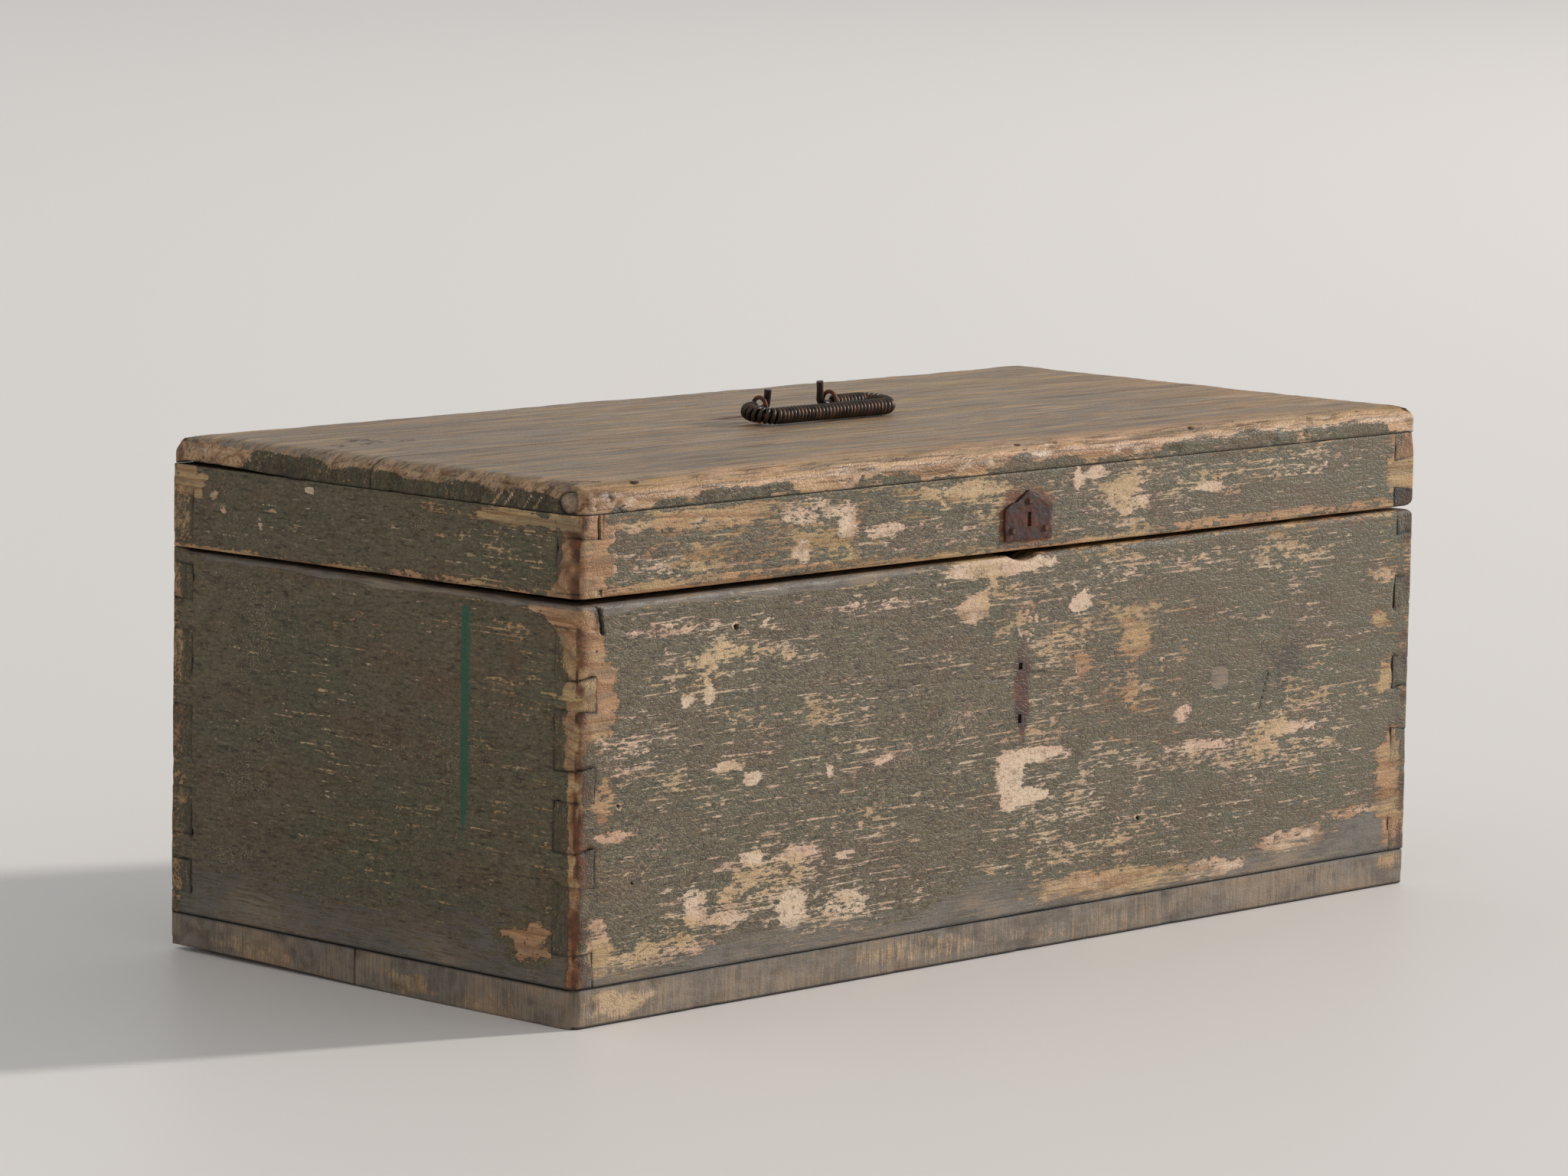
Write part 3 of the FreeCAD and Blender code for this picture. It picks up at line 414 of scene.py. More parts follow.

    # over it all: end grain drinks the paint in dark streaks; dents; a brushed green line; rust that has run
    # from iron; dirt in the hollows, with painted shade in the joint over the base and a painted contact
    # shadow along the base's foot; and worm holes in a few cells
    dents = total(-0.6, (1.0, "dentShape"), (0.3, "dents"))
    line = total(-0.1, (1.0, "green"), (0.6, "bristle"), (-0.4, "ragged"))
    rust = coats(look["rust"], (look["rustBright"], ("cloud", 0.4, 0.6)))
    plain = {"Scale": [1 / toMetres] * 3, "Location": [look["log"]] * 3, "Vector": place}
    inMillimetres = addNode(tree, "ShaderNodeMapping", plain).outputs[0]
    cells = addNode(tree, "ShaderNodeTexVoronoi", {"Scale": 1 / look["wormCell"], "Vector": inMillimetres})
    chance = addNode(tree, "ShaderNodeSeparateColor", {0: cells.outputs["Color"]}).outputs[0]
    colour = coats(paint,
                   # a dark rim round the chips: partly dirt, partly painted shadow of the paint's broken edge
                   (look["dark"], (worn, 0.22, 0.41, 0.0, 0.75), (worn, 0.42, 0.52, 1.0, 0.0)),
                   (ground, lost),
                   (coat, covered),
                   (look["endGrain"], ("fibreEnds", 0.42, 0.6, 0.05, 0.7), "endGrain"),
                   (look["dent"], (dents, 0.35, 0.39, 0.0, 0.75)),
                   (look["line"], (line, 0.35, 0.62, 0.0, 0.9)),
                   (rust, (product("rust", "ragged"), 0.1, 0.5, 0.0, 0.92)),
                   (look["grime"], "grime"),
                   (look["wormHole"], (chance, look["wormShare"], look["wormShare"] + 0.001, 0.9, 0.0),
                    (cells.outputs["Distance"], 0.06, 0.08, 1.0, 0.0)))
    rough = product((lost, 0.0, 1.0, look["paintRoughness"], look["woodRoughness"]))

    # the broken edge of the paint, its crackle, then the wood's fibres, all filled in part by the grey coat
    height = total(0.0, (-1.0, lost), (0.9, "fibre"), (0.5, "mottle"), (0.3, "speck"),
                   (0.5, product(("crackle", 0.0, 0.12))))
    bump = addNode(tree, "ShaderNodeBump", {"Strength": 0.8, "Distance": look["paintThickness"] * toMetres,
                                            "Height": product(height, (covered, 0.0, 1.0, 1.0, 0.35))})
    tree.links.new(colour, shader.inputs["Base Color"])
    tree.links.new(total(-0.08, (0.16, "cloud"), (1.0, rough)), shader.inputs["Roughness"])
    tree.links.new(bump.outputs[0], shader.inputs["Normal"])
    shader.inputs["Specular IOR Level"].default_value = look["shine"]
    return material


# wrought iron, forged and drawn, brown-black with soft red rust that dulls it
ironLook = dict(black="#3b302a", brown="#553c30", red="#7a4a33", redAmount=0.0, patch=5.0, pit=0.9,
                metallic=0.55, roughness=0.5, relief=0.25)


# two noises, patches and pits, added up, give the colour, the roughness and the bumps
def rustedIron(name, **changes):
    look = {**ironLook, **changes}
    material, tree, shader = newMaterial(name)
    place = addNode(tree, "ShaderNodeTexCoord").outputs["Object"]
    place = addNode(tree, "ShaderNodeMapping", {"Scale": [1 / toMetres] * 3, "Vector": place}).outputs[0]
    noises = []
    for size, detail, roughness in (("patch", 5.0, 0.65), ("pit", 4.0, 0.7)):
        noise = {"Scale": 1 / look[size], "Detail": detail, "Roughness": roughness, "Vector": place}
        noises.append(addNode(tree, "ShaderNodeTexNoise", noise).outputs["Fac"])
    both = {"operation": "MULTIPLY_ADD", 0: noises[1], 1: 0.45, 2: noises[0]}
    shifted = {"operation": "ADD", 0: addNode(tree, "ShaderNodeMath", both).outputs[0],
               1: look["redAmount"] - 0.225}
    mixed = addNode(tree, "ShaderNodeMath", shifted).outputs[0]
    colour = addNode(tree, "ShaderNodeValToRGB",
                     {"stops": [(0.38, look["black"]), (0.66, look["red"]), (0.52, look["brown"])], 0: mixed})
    rough = addNode(tree, "ShaderNodeMapRange", {
        "From Min": 0.35, "From Max": 0.65, "Value": mixed,
        "To Min": look["roughness"] - 0.1, "To Max": look["roughness"] + 0.22})
    bump = addNode(tree, "ShaderNodeBump", {
        "Strength": 0.7, "Distance": look["relief"] * toMetres, "Height": mixed})
    tree.links.new(colour.outputs[0], shader.inputs["Base Color"])
    tree.links.new(rough.outputs[0], shader.inputs["Roughness"])
    tree.links.new(bump.outputs[0], shader.inputs["Normal"])
    shader.inputs["Metallic"].default_value = look["metallic"]
    return material


paintedX = agedPine("paintedPineAlong")
paintedY = agedPine("paintedPineAcross", grain=1, brush=1, fleckAmount=-0.13, chipAmount=-0.1,
                    fleckHeight=2.4, fleckStretch=1.7, lineAmount=-0.1, mottleDepth=0.6, wormShare=0.12)
topLook = dict(patina="#918272", patinaAmount=0.5, earlyWood="#c7a078", woodRoughness=0.46, shine=0.25,
               streaks=0.6, honey=0.45, streakWidth=3.0, honeyWidth=7.0, streakReach=26, fibreWidth=1.8,
               fibreDepth=0.85, remains=1.0, chipAmount=0.05, coolCover=0.0, wormShare=0.0)
topPine = agedPine("weatheredPineTop", **topLook)
topPineRear = agedPine("weatheredPineTopRear", log=213.0, **topLook)
basePine = agedPine("brushedPineBase", brush=2, coolCover=0.9, chipAmount=3.0, remains=1.0,
                    cream="#cbb08e", blush="#c2a283", straw="#c6a67e")
bareLook = dict(chipAmount=3.0, timber=1.0, patina="#8d7050", patinaAmount=0.25)
barePineX = agedPine("barePineAlong", **bareLook)
barePineY = agedPine("barePineAcross", grain=1, **bareLook)
coilIron = rustedIron("wireIron", black="#3b322c", brown="#4c4038", red="#664b3b", patch=9.0, roughness=0.36,
                      metallic=0.8)
eyeIron = rustedIron("cotterIron", redAmount=0.08, patch=4.0)
plateIron = rustedIron("sheetIron", black="#2a1a16", brown="#48291f", red="#683c2d", metallic=0.0,
                       roughness=0.74, relief=0.7)
nailIron = rustedIron("nailIron", redAmount=0.03, patch=3.0)
hingeIron = rustedIron("hingeIron", redAmount=0.05, patch=12.0, pit=1.4)
print("materials made")

# Each group of boards wears as one block. corners are the radii of its upright edges and cornerBare how much
# paint is gone there, both in the order left front, left back, right front, right back; top and bottom are
# the radii of its other worn edges, and topReach is how far its top edge is rounded across. strip is how wide
# the upright edges are bare, and topBare and bottomBare are the amount and width along the other edges.
forms = dict(
    walls=dict(low=(xLeft, yFront, zBase), high=(xRight, yBack, zSplit), rough=2.2, wave=0.5, seed=11,
               corners=(6.5, 1.6, 1.6, 2.5), top=3.6, topReach=3.6, bottom=1.0,
               spans=(frontSpans, backSpans, frontSpans, backSpans), tail=16.0, side=18.0,
               cornerBare=(1.1, 0.55, 0.3, 0.4), strip=9.0, topBare=(0.5, 5), bottomBare=(0.0, 3)),
    lidWalls=dict(low=(xLeft, yFront, zSplit), high=(xRight, yBack, zRailTop), rough=1.8, wave=0.4, seed=23,
                  corners=(6.5, 1.6, 1.6, 2.5), top=0.8, topReach=0.8, bottom=1.5,
                  spans=(lidLeftSpans, lidLeftSpans, lidRightSpans, lidRightSpans), tail=20.0, side=18.0,
                  cornerBare=(1.1, 0.45, 0.9, 0.5), strip=13.0, topBare=(0.15, 5), bottomBare=(0.95, 3.5)),
    lidTop=dict(low=(xLeft, yFront, zRailTop), high=(xRight, yBack, zTop), rough=2.0, wave=0.6, seed=37,
                corners=(13.0, 3.5, 3.0, 4.0), top=11.5, topReach=17.0, bottom=0.8,
                cornerBare=(0.8, 0.8, 0.8, 0.8), strip=40.0, topBare=(0.95, 14), bottomBare=(0.0, 4)),
    base=dict(low=(xLeft, yFront, 0), high=(xRight, yBack, zBase), rough=1.0, wave=0.3, seed=41,
              corners=(8.0, 2.0, 2.0, 3.0), top=1.8, topReach=1.8, bottom=1.6,
              cornerBare=(0.35, 0.3, 0.4, 0.4), strip=12.0, topBare=(0.0, 3), bottomBare=(0.4, 3)),
)
lidRise = railFrontLow - zSplit      # how much higher the lid's lower edge is at the front than at the back

# how far the paint is gone to each side of the near upright corner, by height
nearCorner = dict(height=(0, 70, 130, 165, 172, 198, 205, 209, 228, 236, 246, 262, 285, 296),
                  front=(7, 5, 5, 7, 26, 28, 32, 23, 22, 14, 14, 26, 24, 20),
                  left=(5, 5, 6, 8, 8, 9, 9, 10, 12, 30, 34, 12, 14, 20))
# how high the paint still stands above the lid boards' lower edge, along their front and their left end
lidEdgeFront = dict(x=(-380, -357, -350, -334, -322, -318, -292, -288, -282, -205, -198, -152, -148, -97,
                       -92, -80, -52, -46, -30, -22, -18, 6, 9, 48, 56, 125, 130, 145, 200, 215, 320, 345,
                       380),
                    height=(0, 0, 5, 4, 0, 6, 6, 0, 9, 8, 0, 0, 9, 8,
                            0, 4, 4, 0, 6, 6, 12, 12, 7, 6, 4, 6, 9, 11, 11, 12, 12, 8, 0))
lidEdgeLeft = dict(y=(-180, -165, -158, -90, 30, 55, 100, 112, 175), height=(0, 0, 11, 12, 12, 17, 17, 0, 0))


# 0 for the left front upright corner, 1 left back, 2 right front, 3 right back, whichever is nearest
def whichCorner(p0):
    return 2 * (p0[:, 0] > 0) + (p0[:, 1] > 0)


# the two corners that stand against the background keep their line: 1 elsewhere, a quarter there
def heldCorners(p0):
    held = 1.0
    for x, y in ((xRight, yFront), (xLeft, yBack)):
        held = held * (1 - 0.75 * np.exp(-np.hypot(p0[:, 0] - x, p0[:, 1] - y) / 14))
    return held


# Rounds a block's edges. In plan, a point outside the core moves towards the core's nearest point until it is
# no further than the worn radius. Then the top and bottom edges: height and depth from the side, both as
# shares of the edge's radii, shrink together until they lie on the unit circle.
def wearEdges(p0, p, form):
    low, high = np.array(form["low"]), np.array(form["high"])
    rough = softNoise(p0, 26, form["seed"]) * form["rough"] \
        + softNoise(p0, 7, form["seed"] + 1) * form["rough"] * 0.35
    worn = np.array(form["corners"])[whichCorner(p0)]
    corner = np.maximum(worn + rough * worn / max(form["corners"]), worn * 0.45)[:, None]
    inner = np.clip(p[:, :2], low[:2] + corner, high[:2] - corner)
    offset = p[:, :2] - inner
    reach = np.maximum(np.linalg.norm(offset, axis=1, keepdims=True), 1e-9)
    p[:, :2] = inner + offset * np.minimum(1, corner / reach)
    toSides = np.stack([p[:, 0] - low[0], high[0] - p[:, 0], p[:, 1] - low[1], high[1] - p[:, 1]], -1)
    nearest = toSides.argmin(1)
    outward = np.array([[-1.0, 0], [1, 0], [0, -1], [0, 1]])[nearest]
    depth = toSides.min(1)
    inCorner = (np.abs(offset) > 1e-6).all(1)
    outward = np.where(inCorner[:, None], offset / reach, outward)
    depth = np.where(inCorner, corner[:, 0] - np.minimum(reach, corner)[:, 0], depth)
    for side, name in ((1, "top"), (-1, "bottom")):
        edge = high[2] if side == 1 else low[2]
        radius = np.clip(form[name] * (1 + 0.25 * rough / form["rough"]), 0.2, None)
        if form is not forms["lidTop"]:
            radius = radius * np.where(p0[:, 1] > 0, heldCorners(p0), 1)
        across = radius * form["topReach"] / form["top"] if side == 1 else radius
        out, up = 1 - depth / across, 1 - side * (edge - p[:, 2]) / radius
        length = np.hypot(out, up)
        shrink = np.where((out > 0) & (up > 0) & (length > 1), 1 - 1 / np.maximum(length, 1e-9), 0)
        p[:, :2] -= outward * (out * shrink * across)[:, None]
        p[:, 2] -= side * up * shrink * radius


# distance from the block's faces: the nearest upright face in x and in y, the top and the bottom
def faceDistances(p0, form):
    low, high = np.array(form["low"]), np.array(form["high"])
    dx = np.minimum(p0[:, 0] - low[0], high[0] - p0[:, 0])
    dy = np.minimum(p0[:, 1] - low[1], high[1] - p0[:, 1])
    return dx, dy, high[2] - p0[:, 2], p0[:, 2] - low[2]


# moves points into the block by that depth, square to each of its outer faces within the given reach
def pushIn(p0, p, form, depth, reach=9.0, lid=False):
    dx, dy, dTop, dBottom = faceDistances(p0, form)
    middle = (np.array(form["low"]) + np.array(form["high"])) / 2
    for axis, distance in ((0, dx), (1, dy)):
        inward = np.sign(middle[axis] - p0[:, axis])
        p[:, axis] += inward * depth * np.clip(1 - distance / reach, 0, 1)
    if lid:
        p[:, 2] -= depth * np.clip(1 - dTop / reach, 0, 1)


# distance from a segment: from its nearest point, the end or start where that lies outside
def segmentDistance(p, start, end):
    start, end = np.array(start, float), np.array(end, float)
    along = end - start
    t = np.clip(((p - start) @ along) / (along @ along), 0, 1)
    return np.linalg.norm(p - start - t[:, None] * along, axis=1)


# the lines where tails meet pins at one upright corner, on both of its faces
def jointSegments(form, spans, right, back):
    x = form["high"][0] if right else form["low"][0]
    y = form["high"][1] if back else form["low"][1]
    xIn = x - form["tail"] if right else x + form["tail"]
    yIn = y - form["side"] if back else y + form["side"]
    segments = []
    edges = [form["low"][2]] + list(spans.ravel()) + [form["high"][2]]
    for z in spans.ravel():
        segments += [((x, y, z), (xIn, y, z)), ((x, y, z), (x, yIn, z))]
    for k in range(0, len(edges) - 1, 2):
        segments.append(((xIn, y, edges[k]), (xIn, y, edges[k + 1])))
    for low, high in spans:
        segments.append(((x, yIn, low), (x, yIn, high)))
    return segments


# distance from the nearest joint line of a block; 99 far from its upright corners
def jointDistance(p0, form):
    distance = np.full(len(p0), 99.0)
    if "spans" not in form:
        return distance
    for n, spans in enumerate(form["spans"]):
        right, back = n >= 2, n % 2 == 1
        x = form["high"][0] if right else form["low"][0]
        y = form["high"][1] if back else form["low"][1]
        near = np.flatnonzero((np.abs(p0[:, 0] - x) < 30) & (np.abs(p0[:, 1] - y) < 30))
        if len(near):
            here = distance[near]
            for start, end in jointSegments(form, spans, right, back):
                here = np.minimum(here, segmentDistance(p0[near], start, end))
            distance[near] = here
    return distance


# the tails flare towards their ends: z shifts with the distance from the outer end, up at a tail's lower
# cheek and down at its upper one, by linear steps between them
def flareTails(p0, p, form, slope=0.1):
    low, high = form["low"], form["high"]
    shares = []
    for spans in form["spans"]:
        stops = np.concatenate(([low[2]], spans.ravel(), [high[2]]))
        signs = np.concatenate(([0], np.tile([1, -1], len(spans)), [0]))
        shares.append(np.interp(p0[:, 2], stops, signs))
    back = np.clip((p0[:, 1] - low[1] - form["side"]) / (high[1] - low[1] - 2 * form["side"]), 0, 1)
    right = p0[:, 0] > (low[0] + high[0]) / 2
    share = np.where(right, shares[2] * (1 - back) + shares[3] * back,
                     shares[0] * (1 - back) + shares[1] * back)
    run = np.minimum(np.minimum(p0[:, 0] - low[0], high[0] - p0[:, 0]), form["tail"])
    p[:, 2] += slope * run * share


# rounds the right ends' upper or lower corners, seen from the front: past a quarter circle's centre, points
# come in to the circle
def roundRightEnd(p, z, radius, side, share):
    across, up = p[:, 0] - (xRight - radius), side * (p[:, 2] - z) + radius
    length = np.hypot(across, up)
    outside = (across > 0) & (up > 0) & (length > radius)
    shrink = np.where(outside, 1 - radius / np.maximum(length, 1e-9), 0) * share
    p[:, 0] -= across * shrink
    p[:, 2] -= side * up * shrink


# what the lid's worn fit leaves open above the walls, at the four corners and over the hollow under the clasp
lidGap = dict(frontLeft=1.9, frontRight=0.0, backLeft=2.3, backRight=1.0, fadeHeight=13.0)
hollow = dict(x=2.2, width=29.0, depth=3.4)


# the walls' top sinks by the gap, less and less down to the height where it fades out
def lowerWallTop(p0, p):
    right = (p0[:, 0] - xLeft) / (xRight - xLeft)
    back = (p0[:, 1] - yFront) / (yBack - yFront)
    frontGap = lidGap["frontLeft"] * (1 - right) + lidGap["frontRight"] * right
    backGap = lidGap["backLeft"] * (1 - right) + lidGap["backRight"] * right
    gap = frontGap * (1 - back) + backGap * back
    dip = hollow["depth"] * np.clip(1 - ((p0[:, 0] - hollow["x"]) / (hollow["width"] / 2)) ** 2, 0, 1)
    gap = gap * ramp(back, 0.995, 0.955) + dip * (back < 0.2)
    start = zSplit - lidGap["fadeHeight"]
    p[:, 2] -= gap * np.clip((p0[:, 2] - start) / (zSplit - start), 0, 1)


# Worn patches, as centre, half width and half height on a face, then how strong they are (1 strips about all
# the paint) and how much bare wood shows in them.
frontPatches = [
    (-45, 216, 15, 9, 1.3, 0.2), (-8, 109, 13, 18, 1.35, 0.0), (16, 121, 33, 5.5, 1.3, 0.0),
    (8, 96, 21, 5, 1.25, 0.0), (-18, 241, 50, 7, 1.2, 0.15), (5, 204, 9, 13, 0.4, 0.2),
    (-354, 189, 9, 19, 0.95, 0.5), (-263, 208, 23, 9, 0.45, 0.0), (-272, 185, 4, 9, 0.9, 0.0),
    (-290, 184, 5, 4, 0.8, 0.0), (-255, 140, 12, 3.5, 0.85, 0.0), (-234, 133, 7, 4, 0.95, 0.0),
    (-168, 130, 4.5, 4, 0.95, 0.0), (-121, 132, 9, 4.5, 0.75, 0.0), (54, 212, 12, 9, 1.05, 0.0),
    (106, 187, 17, 21, 0.66, 0.4), (105, 151, 9, 16, 0.6, 0.4), (57, 174, 10, 11, 0.8, 0.4),
    (155, 135, 8, 6, 0.85, 0.0), (178, 110, 34, 4.5, 0.68, 0.0), (264, 114, 36, 4.5, 0.68, 0.0),
    (81, 32, 72, 9, 0.95, 0.35), (186, 30, 42, 8, 0.8, 0.3), (263, 40, 42, 8, 0.8, 0.3),
    (330, 52, 44, 6, 0.55, 0.3), (368, 42, 16, 20, 0.95, 0.6), (362, 76, 12, 28, 0.95, 0.5),
    (348, 181, 9, 9, 0.7, 0.6), (357, 140, 8, 12, 0.75, 0.5), (352, 203, 14, 6, 0.6, 0.3),
    (-282, 62, 12, 14, 0.75, 0.0), (-252, 50, 18, 4.5, 0.8, 0.0), (-199, 49, 15, 13, 0.9, 0.0),
    (-152, 47, 22, 12, 0.6, 0.0), (-233, 85, 9, 4.5, 0.95, 0.0), (-196, 83, 20, 4.5, 0.75, 0.0),
    (-154, 79, 7, 3.5, 0.95, 0.0), (-309, 36, 52, 7, 0.5, 0.2), (-310, 226, 50, 6, 0.55, 0.1),
    (-130, 226, 60, 5, 0.5, 0.1), (-330, 165, 30, 22, 0.36, 0.0), (-240, 205, 60, 22, 0.2, 0.0),
    (-180, 60, 120, 32, 0.30, 0.1), (30, 170, 60, 50, 0.30, 0.2), (100, 175, 60, 60, 0.28, 0.3),
    (-150, 160, 60, 40, 0.15, 0.1), (-358, 128, 9, 12, 0.75, 0.8), (-360, 45, 10, 22, 0.8, 0.3),
    (-345, 108, 18, 4, 0.85, 0.2), (250, 110, 100, 26, 0.30, 0.1), (130, 225, 160, 12, 0.28, 0.1),
    (60, 90, 70, 40, 0.26, 0.1),
]
railPatches = [
    (-285, 289, 80, 6, 0.75, 0.4), (-290, 266, 78, 16, 0.3, 0.0), (-157, 278, 9, 11, 0.85, 0.1),
    (-124, 270, 24, 5, 0.75, 0.1), (-195, 261, 7, 10, 0.95, 0.1), (-190, 286, 30, 8, 0.5, 0.1),
    (98, 274, 24, 21, 0.62, 0.2), (50, 290, 5, 9, 0.9, 0.1), (67, 291, 8, 4, 0.9, 0.1),
    (176, 275, 17, 4, 0.7, 0.0), (224, 250.5, 145, 3.2, 0.75, 0.9), (70, 268, 60, 22, 0.3, 0.1),
    (366, 273, 15, 24, 0.85, 1.0), (-60, 290, 40, 5, 0.5, 0.2), (4, 253, 30, 4, 0.7, 0.9),
    (280, 284, 60, 8, 0.35, 0.1), (-250, 250, 130, 2.5, 0.7, 0.8), (-90, 262, 60, 12, 0.2, 0.1),
    (-240, 272, 130, 24, 0.33, 0.4), (130, 282, 150, 14, 0.25, 0.2),
]
sidePatches = [
    (-138, 46, 19, 14, 0.9, 1.0), (-124, 221, 20, 11, 0.5, 0.6), (2, 214, 34, 14, 0.34, 0.3),
    (-131, 188, 25, 20, 0.34, 0.4), (-60, 222, 60, 8, 0.4, 0.3), (-150, 120, 12, 60, 0.3, 0.8),
    (-100, 150, 50, 60, 0.2, 0.3), (-20, 70, 60, 30, 0.16, 0.4),
]
sideRailPatches = [
    (-120, 291, 46, 5, 0.95, 0.9), (-50, 291, 22, 4, 0.7, 0.8), (-100, 272, 50, 16, 0.3, 0.2),
    (-70, 249, 90, 3, 0.7, 0.9), (157, 288, 15, 12, 1.2, 1.0), (133, 280, 4, 3, 0.9, 0.2),
    (125, 272, 3, 3, 0.9, 0.2), (84, 276, 3, 3, 0.9, 0.2), (50, 291, 5, 3, 0.9, 0.2),
    (101, 266, 3, 2.5, 0.9, 0.2), (92, 267, 3, 3, 0.9, 0.2), (89, 257, 3, 3, 0.9, 0.2),
    (120, 248, 40, 2.5, 0.6, 1.0), (-20, 275, 40, 12, 0.3, 0.2),
]
basePatches = [
    (-341, 11, 34, 10, 1.0, 0.1), (-250, 14, 60, 6, 0.4, 0.2), (-85, 13, 70, 9, 0.75, 0.2),
    (40, 10, 90, 7, 0.6, 0.2), (150, 12, 120, 6, 0.55, 0.2), (300, 14, 60, 5, 0.4, 0.3),
    (365, 16, 14, 8, 0.9, 0.4),
]
sideBasePatches = [
    (103, 8, 55, 10, 0.75, 1.0), (-40, 8, 30, 9, 0.8, 1.0), (-110, 6, 30, 8, 0.7, 1.0),
    (150, 14, 16, 8, 0.6, 1.0),
]

# small holes in the front: x, z, radius and depth
frontPits = [(-250, 223, 2.0, 3.5), (-222, 222, 2.6, 0.5), (113, 72, 1.5, 3.0), (-345, 128, 1.2, 2.5),
             (-333, 82, 1.3, 2.5)]
stapleHoles = dict(x=0.0, width=3.2, height=4.6, z=(177.8, 143.7))
# cracks, by board: from, to, width and depth; one that is short along an axis gets grid lines at its two ends
# there
cracks = dict(
    frontBoard=[((-26, yFront, 171), (22, yFront, 172.5), 0.5, 0.8),
                ((229, yFront, 131), (237, yFront, 149), 0.6, 0.9),
                ((-362, yFront, 243), (-359.5, yFront, 229), 1.6, 3.0)],
    leftEndBoard=[((-363, yFront, 243), (-362, yFront, 229), 1.0, 3.0)],
    lidLeftRail=[((-364, yFront, 297), (-362, yFront, 262), 0.9, 2.5)],
    lidTopFront=[((232, yFront + 9, zTop - 1), (266, yFront + 7, zTop - 1.5), 0.8, 1.6),
                 ((266, yFront + 7, zTop - 1.5), (268, yFront + 1, zTop - 9), 0.8, 1.6),
                 ((-366, yFront + 20, zTop), (-352, yFront + 12, zTop), 0.9, 1.4),
                 ((-372, yFront + 8, zTop - 4), (-360, yFront + 1.5, zTop - 8), 1.1, 1.8)],
    lidTopRear=[((-78, 36, zTop), (-20, 33, zTop), 0.7, 1.6), ((-20, 33, zTop), (8, 30, zTop), 0.4, 0.9)],
)
shortCrack = 20.0

# thin scrapes through the paint, by board: from, to and width
scrapes = dict(lidTopFront=[((xLeft, y, 297), (xLeft, y - 6, 304.5), 0.5) for y in (-106, -115, -131, -139)])


# Strength and bareness of a list of patches at each point of a face. A patch is an ellipse whose strength
# falls towards a border that smooth noise bends; where patches meet, the strongest wins.
def patchMarks(u, v, patches, p0, seed):
    bendU, bendV = (0.4 * softNoise(p0, (8, 8, 4), seed + k) for k in (0, 1))
    amount, wood = np.zeros(len(u)), np.zeros(len(u))
    for cu, cv, ru, rv, strength, bareWood in patches:
        here = strength * ramp(np.hypot((u - cu) / ru + bendU, (v - cv) / rv + bendV), 1.35, 0.55)
        wood = np.where(here > amount, bareWood, wood)
        amount = np.maximum(amount, here)
    return amount, wood


# paint lost along a block's edges, each as an amount that fades with the distance, plus the patches of its
# faces
def wearMarks(at, form, patches):
    broad = softNoise(at.points, (60, 60, 18), form["seed"] + 5)
    fine = softNoise(at.points, (11, 11, 5), form["seed"] + 6)
    fromCorner = np.maximum(at.dx, at.dy)
    corner = whichCorner(at.points)
    strip = np.full(len(at.x), form["strip"])
    if "spans" in form:
        side = np.where(at.dx < at.dy, np.interp(at.z, nearCorner["height"], nearCorner["left"]),
                        np.interp(at.z, nearCorner["height"], nearCorner["front"]))
        strip = np.where(corner == 0, side, strip)
    strip = strip * (1 + 0.22 * broad + 0.28 * fine)
    bare = np.array(form["cornerBare"])[corner] * ramp(fromCorner, strip * 1.25, strip * 0.8)
    for distance, (amount, width) in ((at.dTop, form["topBare"]), (at.dBottom, form["bottomBare"])):
        bare = np.maximum(bare, amount * np.exp(-distance / width) * (1 + 0.6 * broad + 0.3 * fine))
    wood = np.clip(1.6 * ramp(fromCorner, 34, 12) + np.exp(-at.dTop / 5) + np.exp(-at.dBottom / 5), 0, 1)
    for on, u, facePatches in ((at.onFront, at.x, patches[0]), (at.onLeft, at.y, patches[1])):
        amount, here = patchMarks(u, at.z, facePatches, at.points, form["seed"] + 7)
        wood = np.where(on & (amount > bare), here, wood)
        bare = np.where(on, np.maximum(bare, amount), bare)
    return bare, wood


# single marks on a face: the middle and the half sizes, how far noise bends the border, the noise's size and
# its seed
spots = dict(
    paintRemnant=(-321, -83, 50, 30, 0.5, (30, 8, 8), 91),      # on top of the lid, in x and y
    handleRust=(-41, 34, 24, 9, 0.4, (9, 4, 4), 93),
    stapleRust=(2, 161, 7, 29, 0.25, (6, 6, 9), 88),            # on the front, in x and z
    scuff=(251, 156, 26, 17, 0.7, (7, 7, 4), 85),
    greyDisc=(190, 152, 8.5, 8, 0.08, 5, 86),
    paleRing=(5, 204, 8, 11.5, 0.1, 5, 97),
    claspRust=(3, 268, 28, 23, 0.2, 6, 87),
    ochre=(-123, 212, 12, 24, 0.4, 9, 84),                      # on the left end, in y and z
)
# the lid's torn corner and the knot beside it: the middle, then the half sizes
tornCorner = dict(middle=[xLeft + 18, yFront + 3, zTop - 8], half=[13, 11, 9])
cornerKnot = dict(middle=[xLeft + 3, yFront + 9, zTop - 10], half=[8, 8, 8])
greenLine = dict(y=-85, halfWidth=3.3, lowEnd=(60, 140), highEnd=(240, 234))


# distance from a spot's middle as a share of its half sizes, so that its border is at 1, bent by smooth noise
def spotDistance(at, u, v, name):
    middleU, middleV, halfU, halfV, bend, size, seed = spots[name]
    return np.hypot((u - middleU) / halfU, (v - middleV) / halfV) + bend * softNoise(at.points, size, seed)


# 1 on a line and falling away from it like a bell of that width
def bell(distance, width):
    return np.exp(-(distance / width) ** 2)


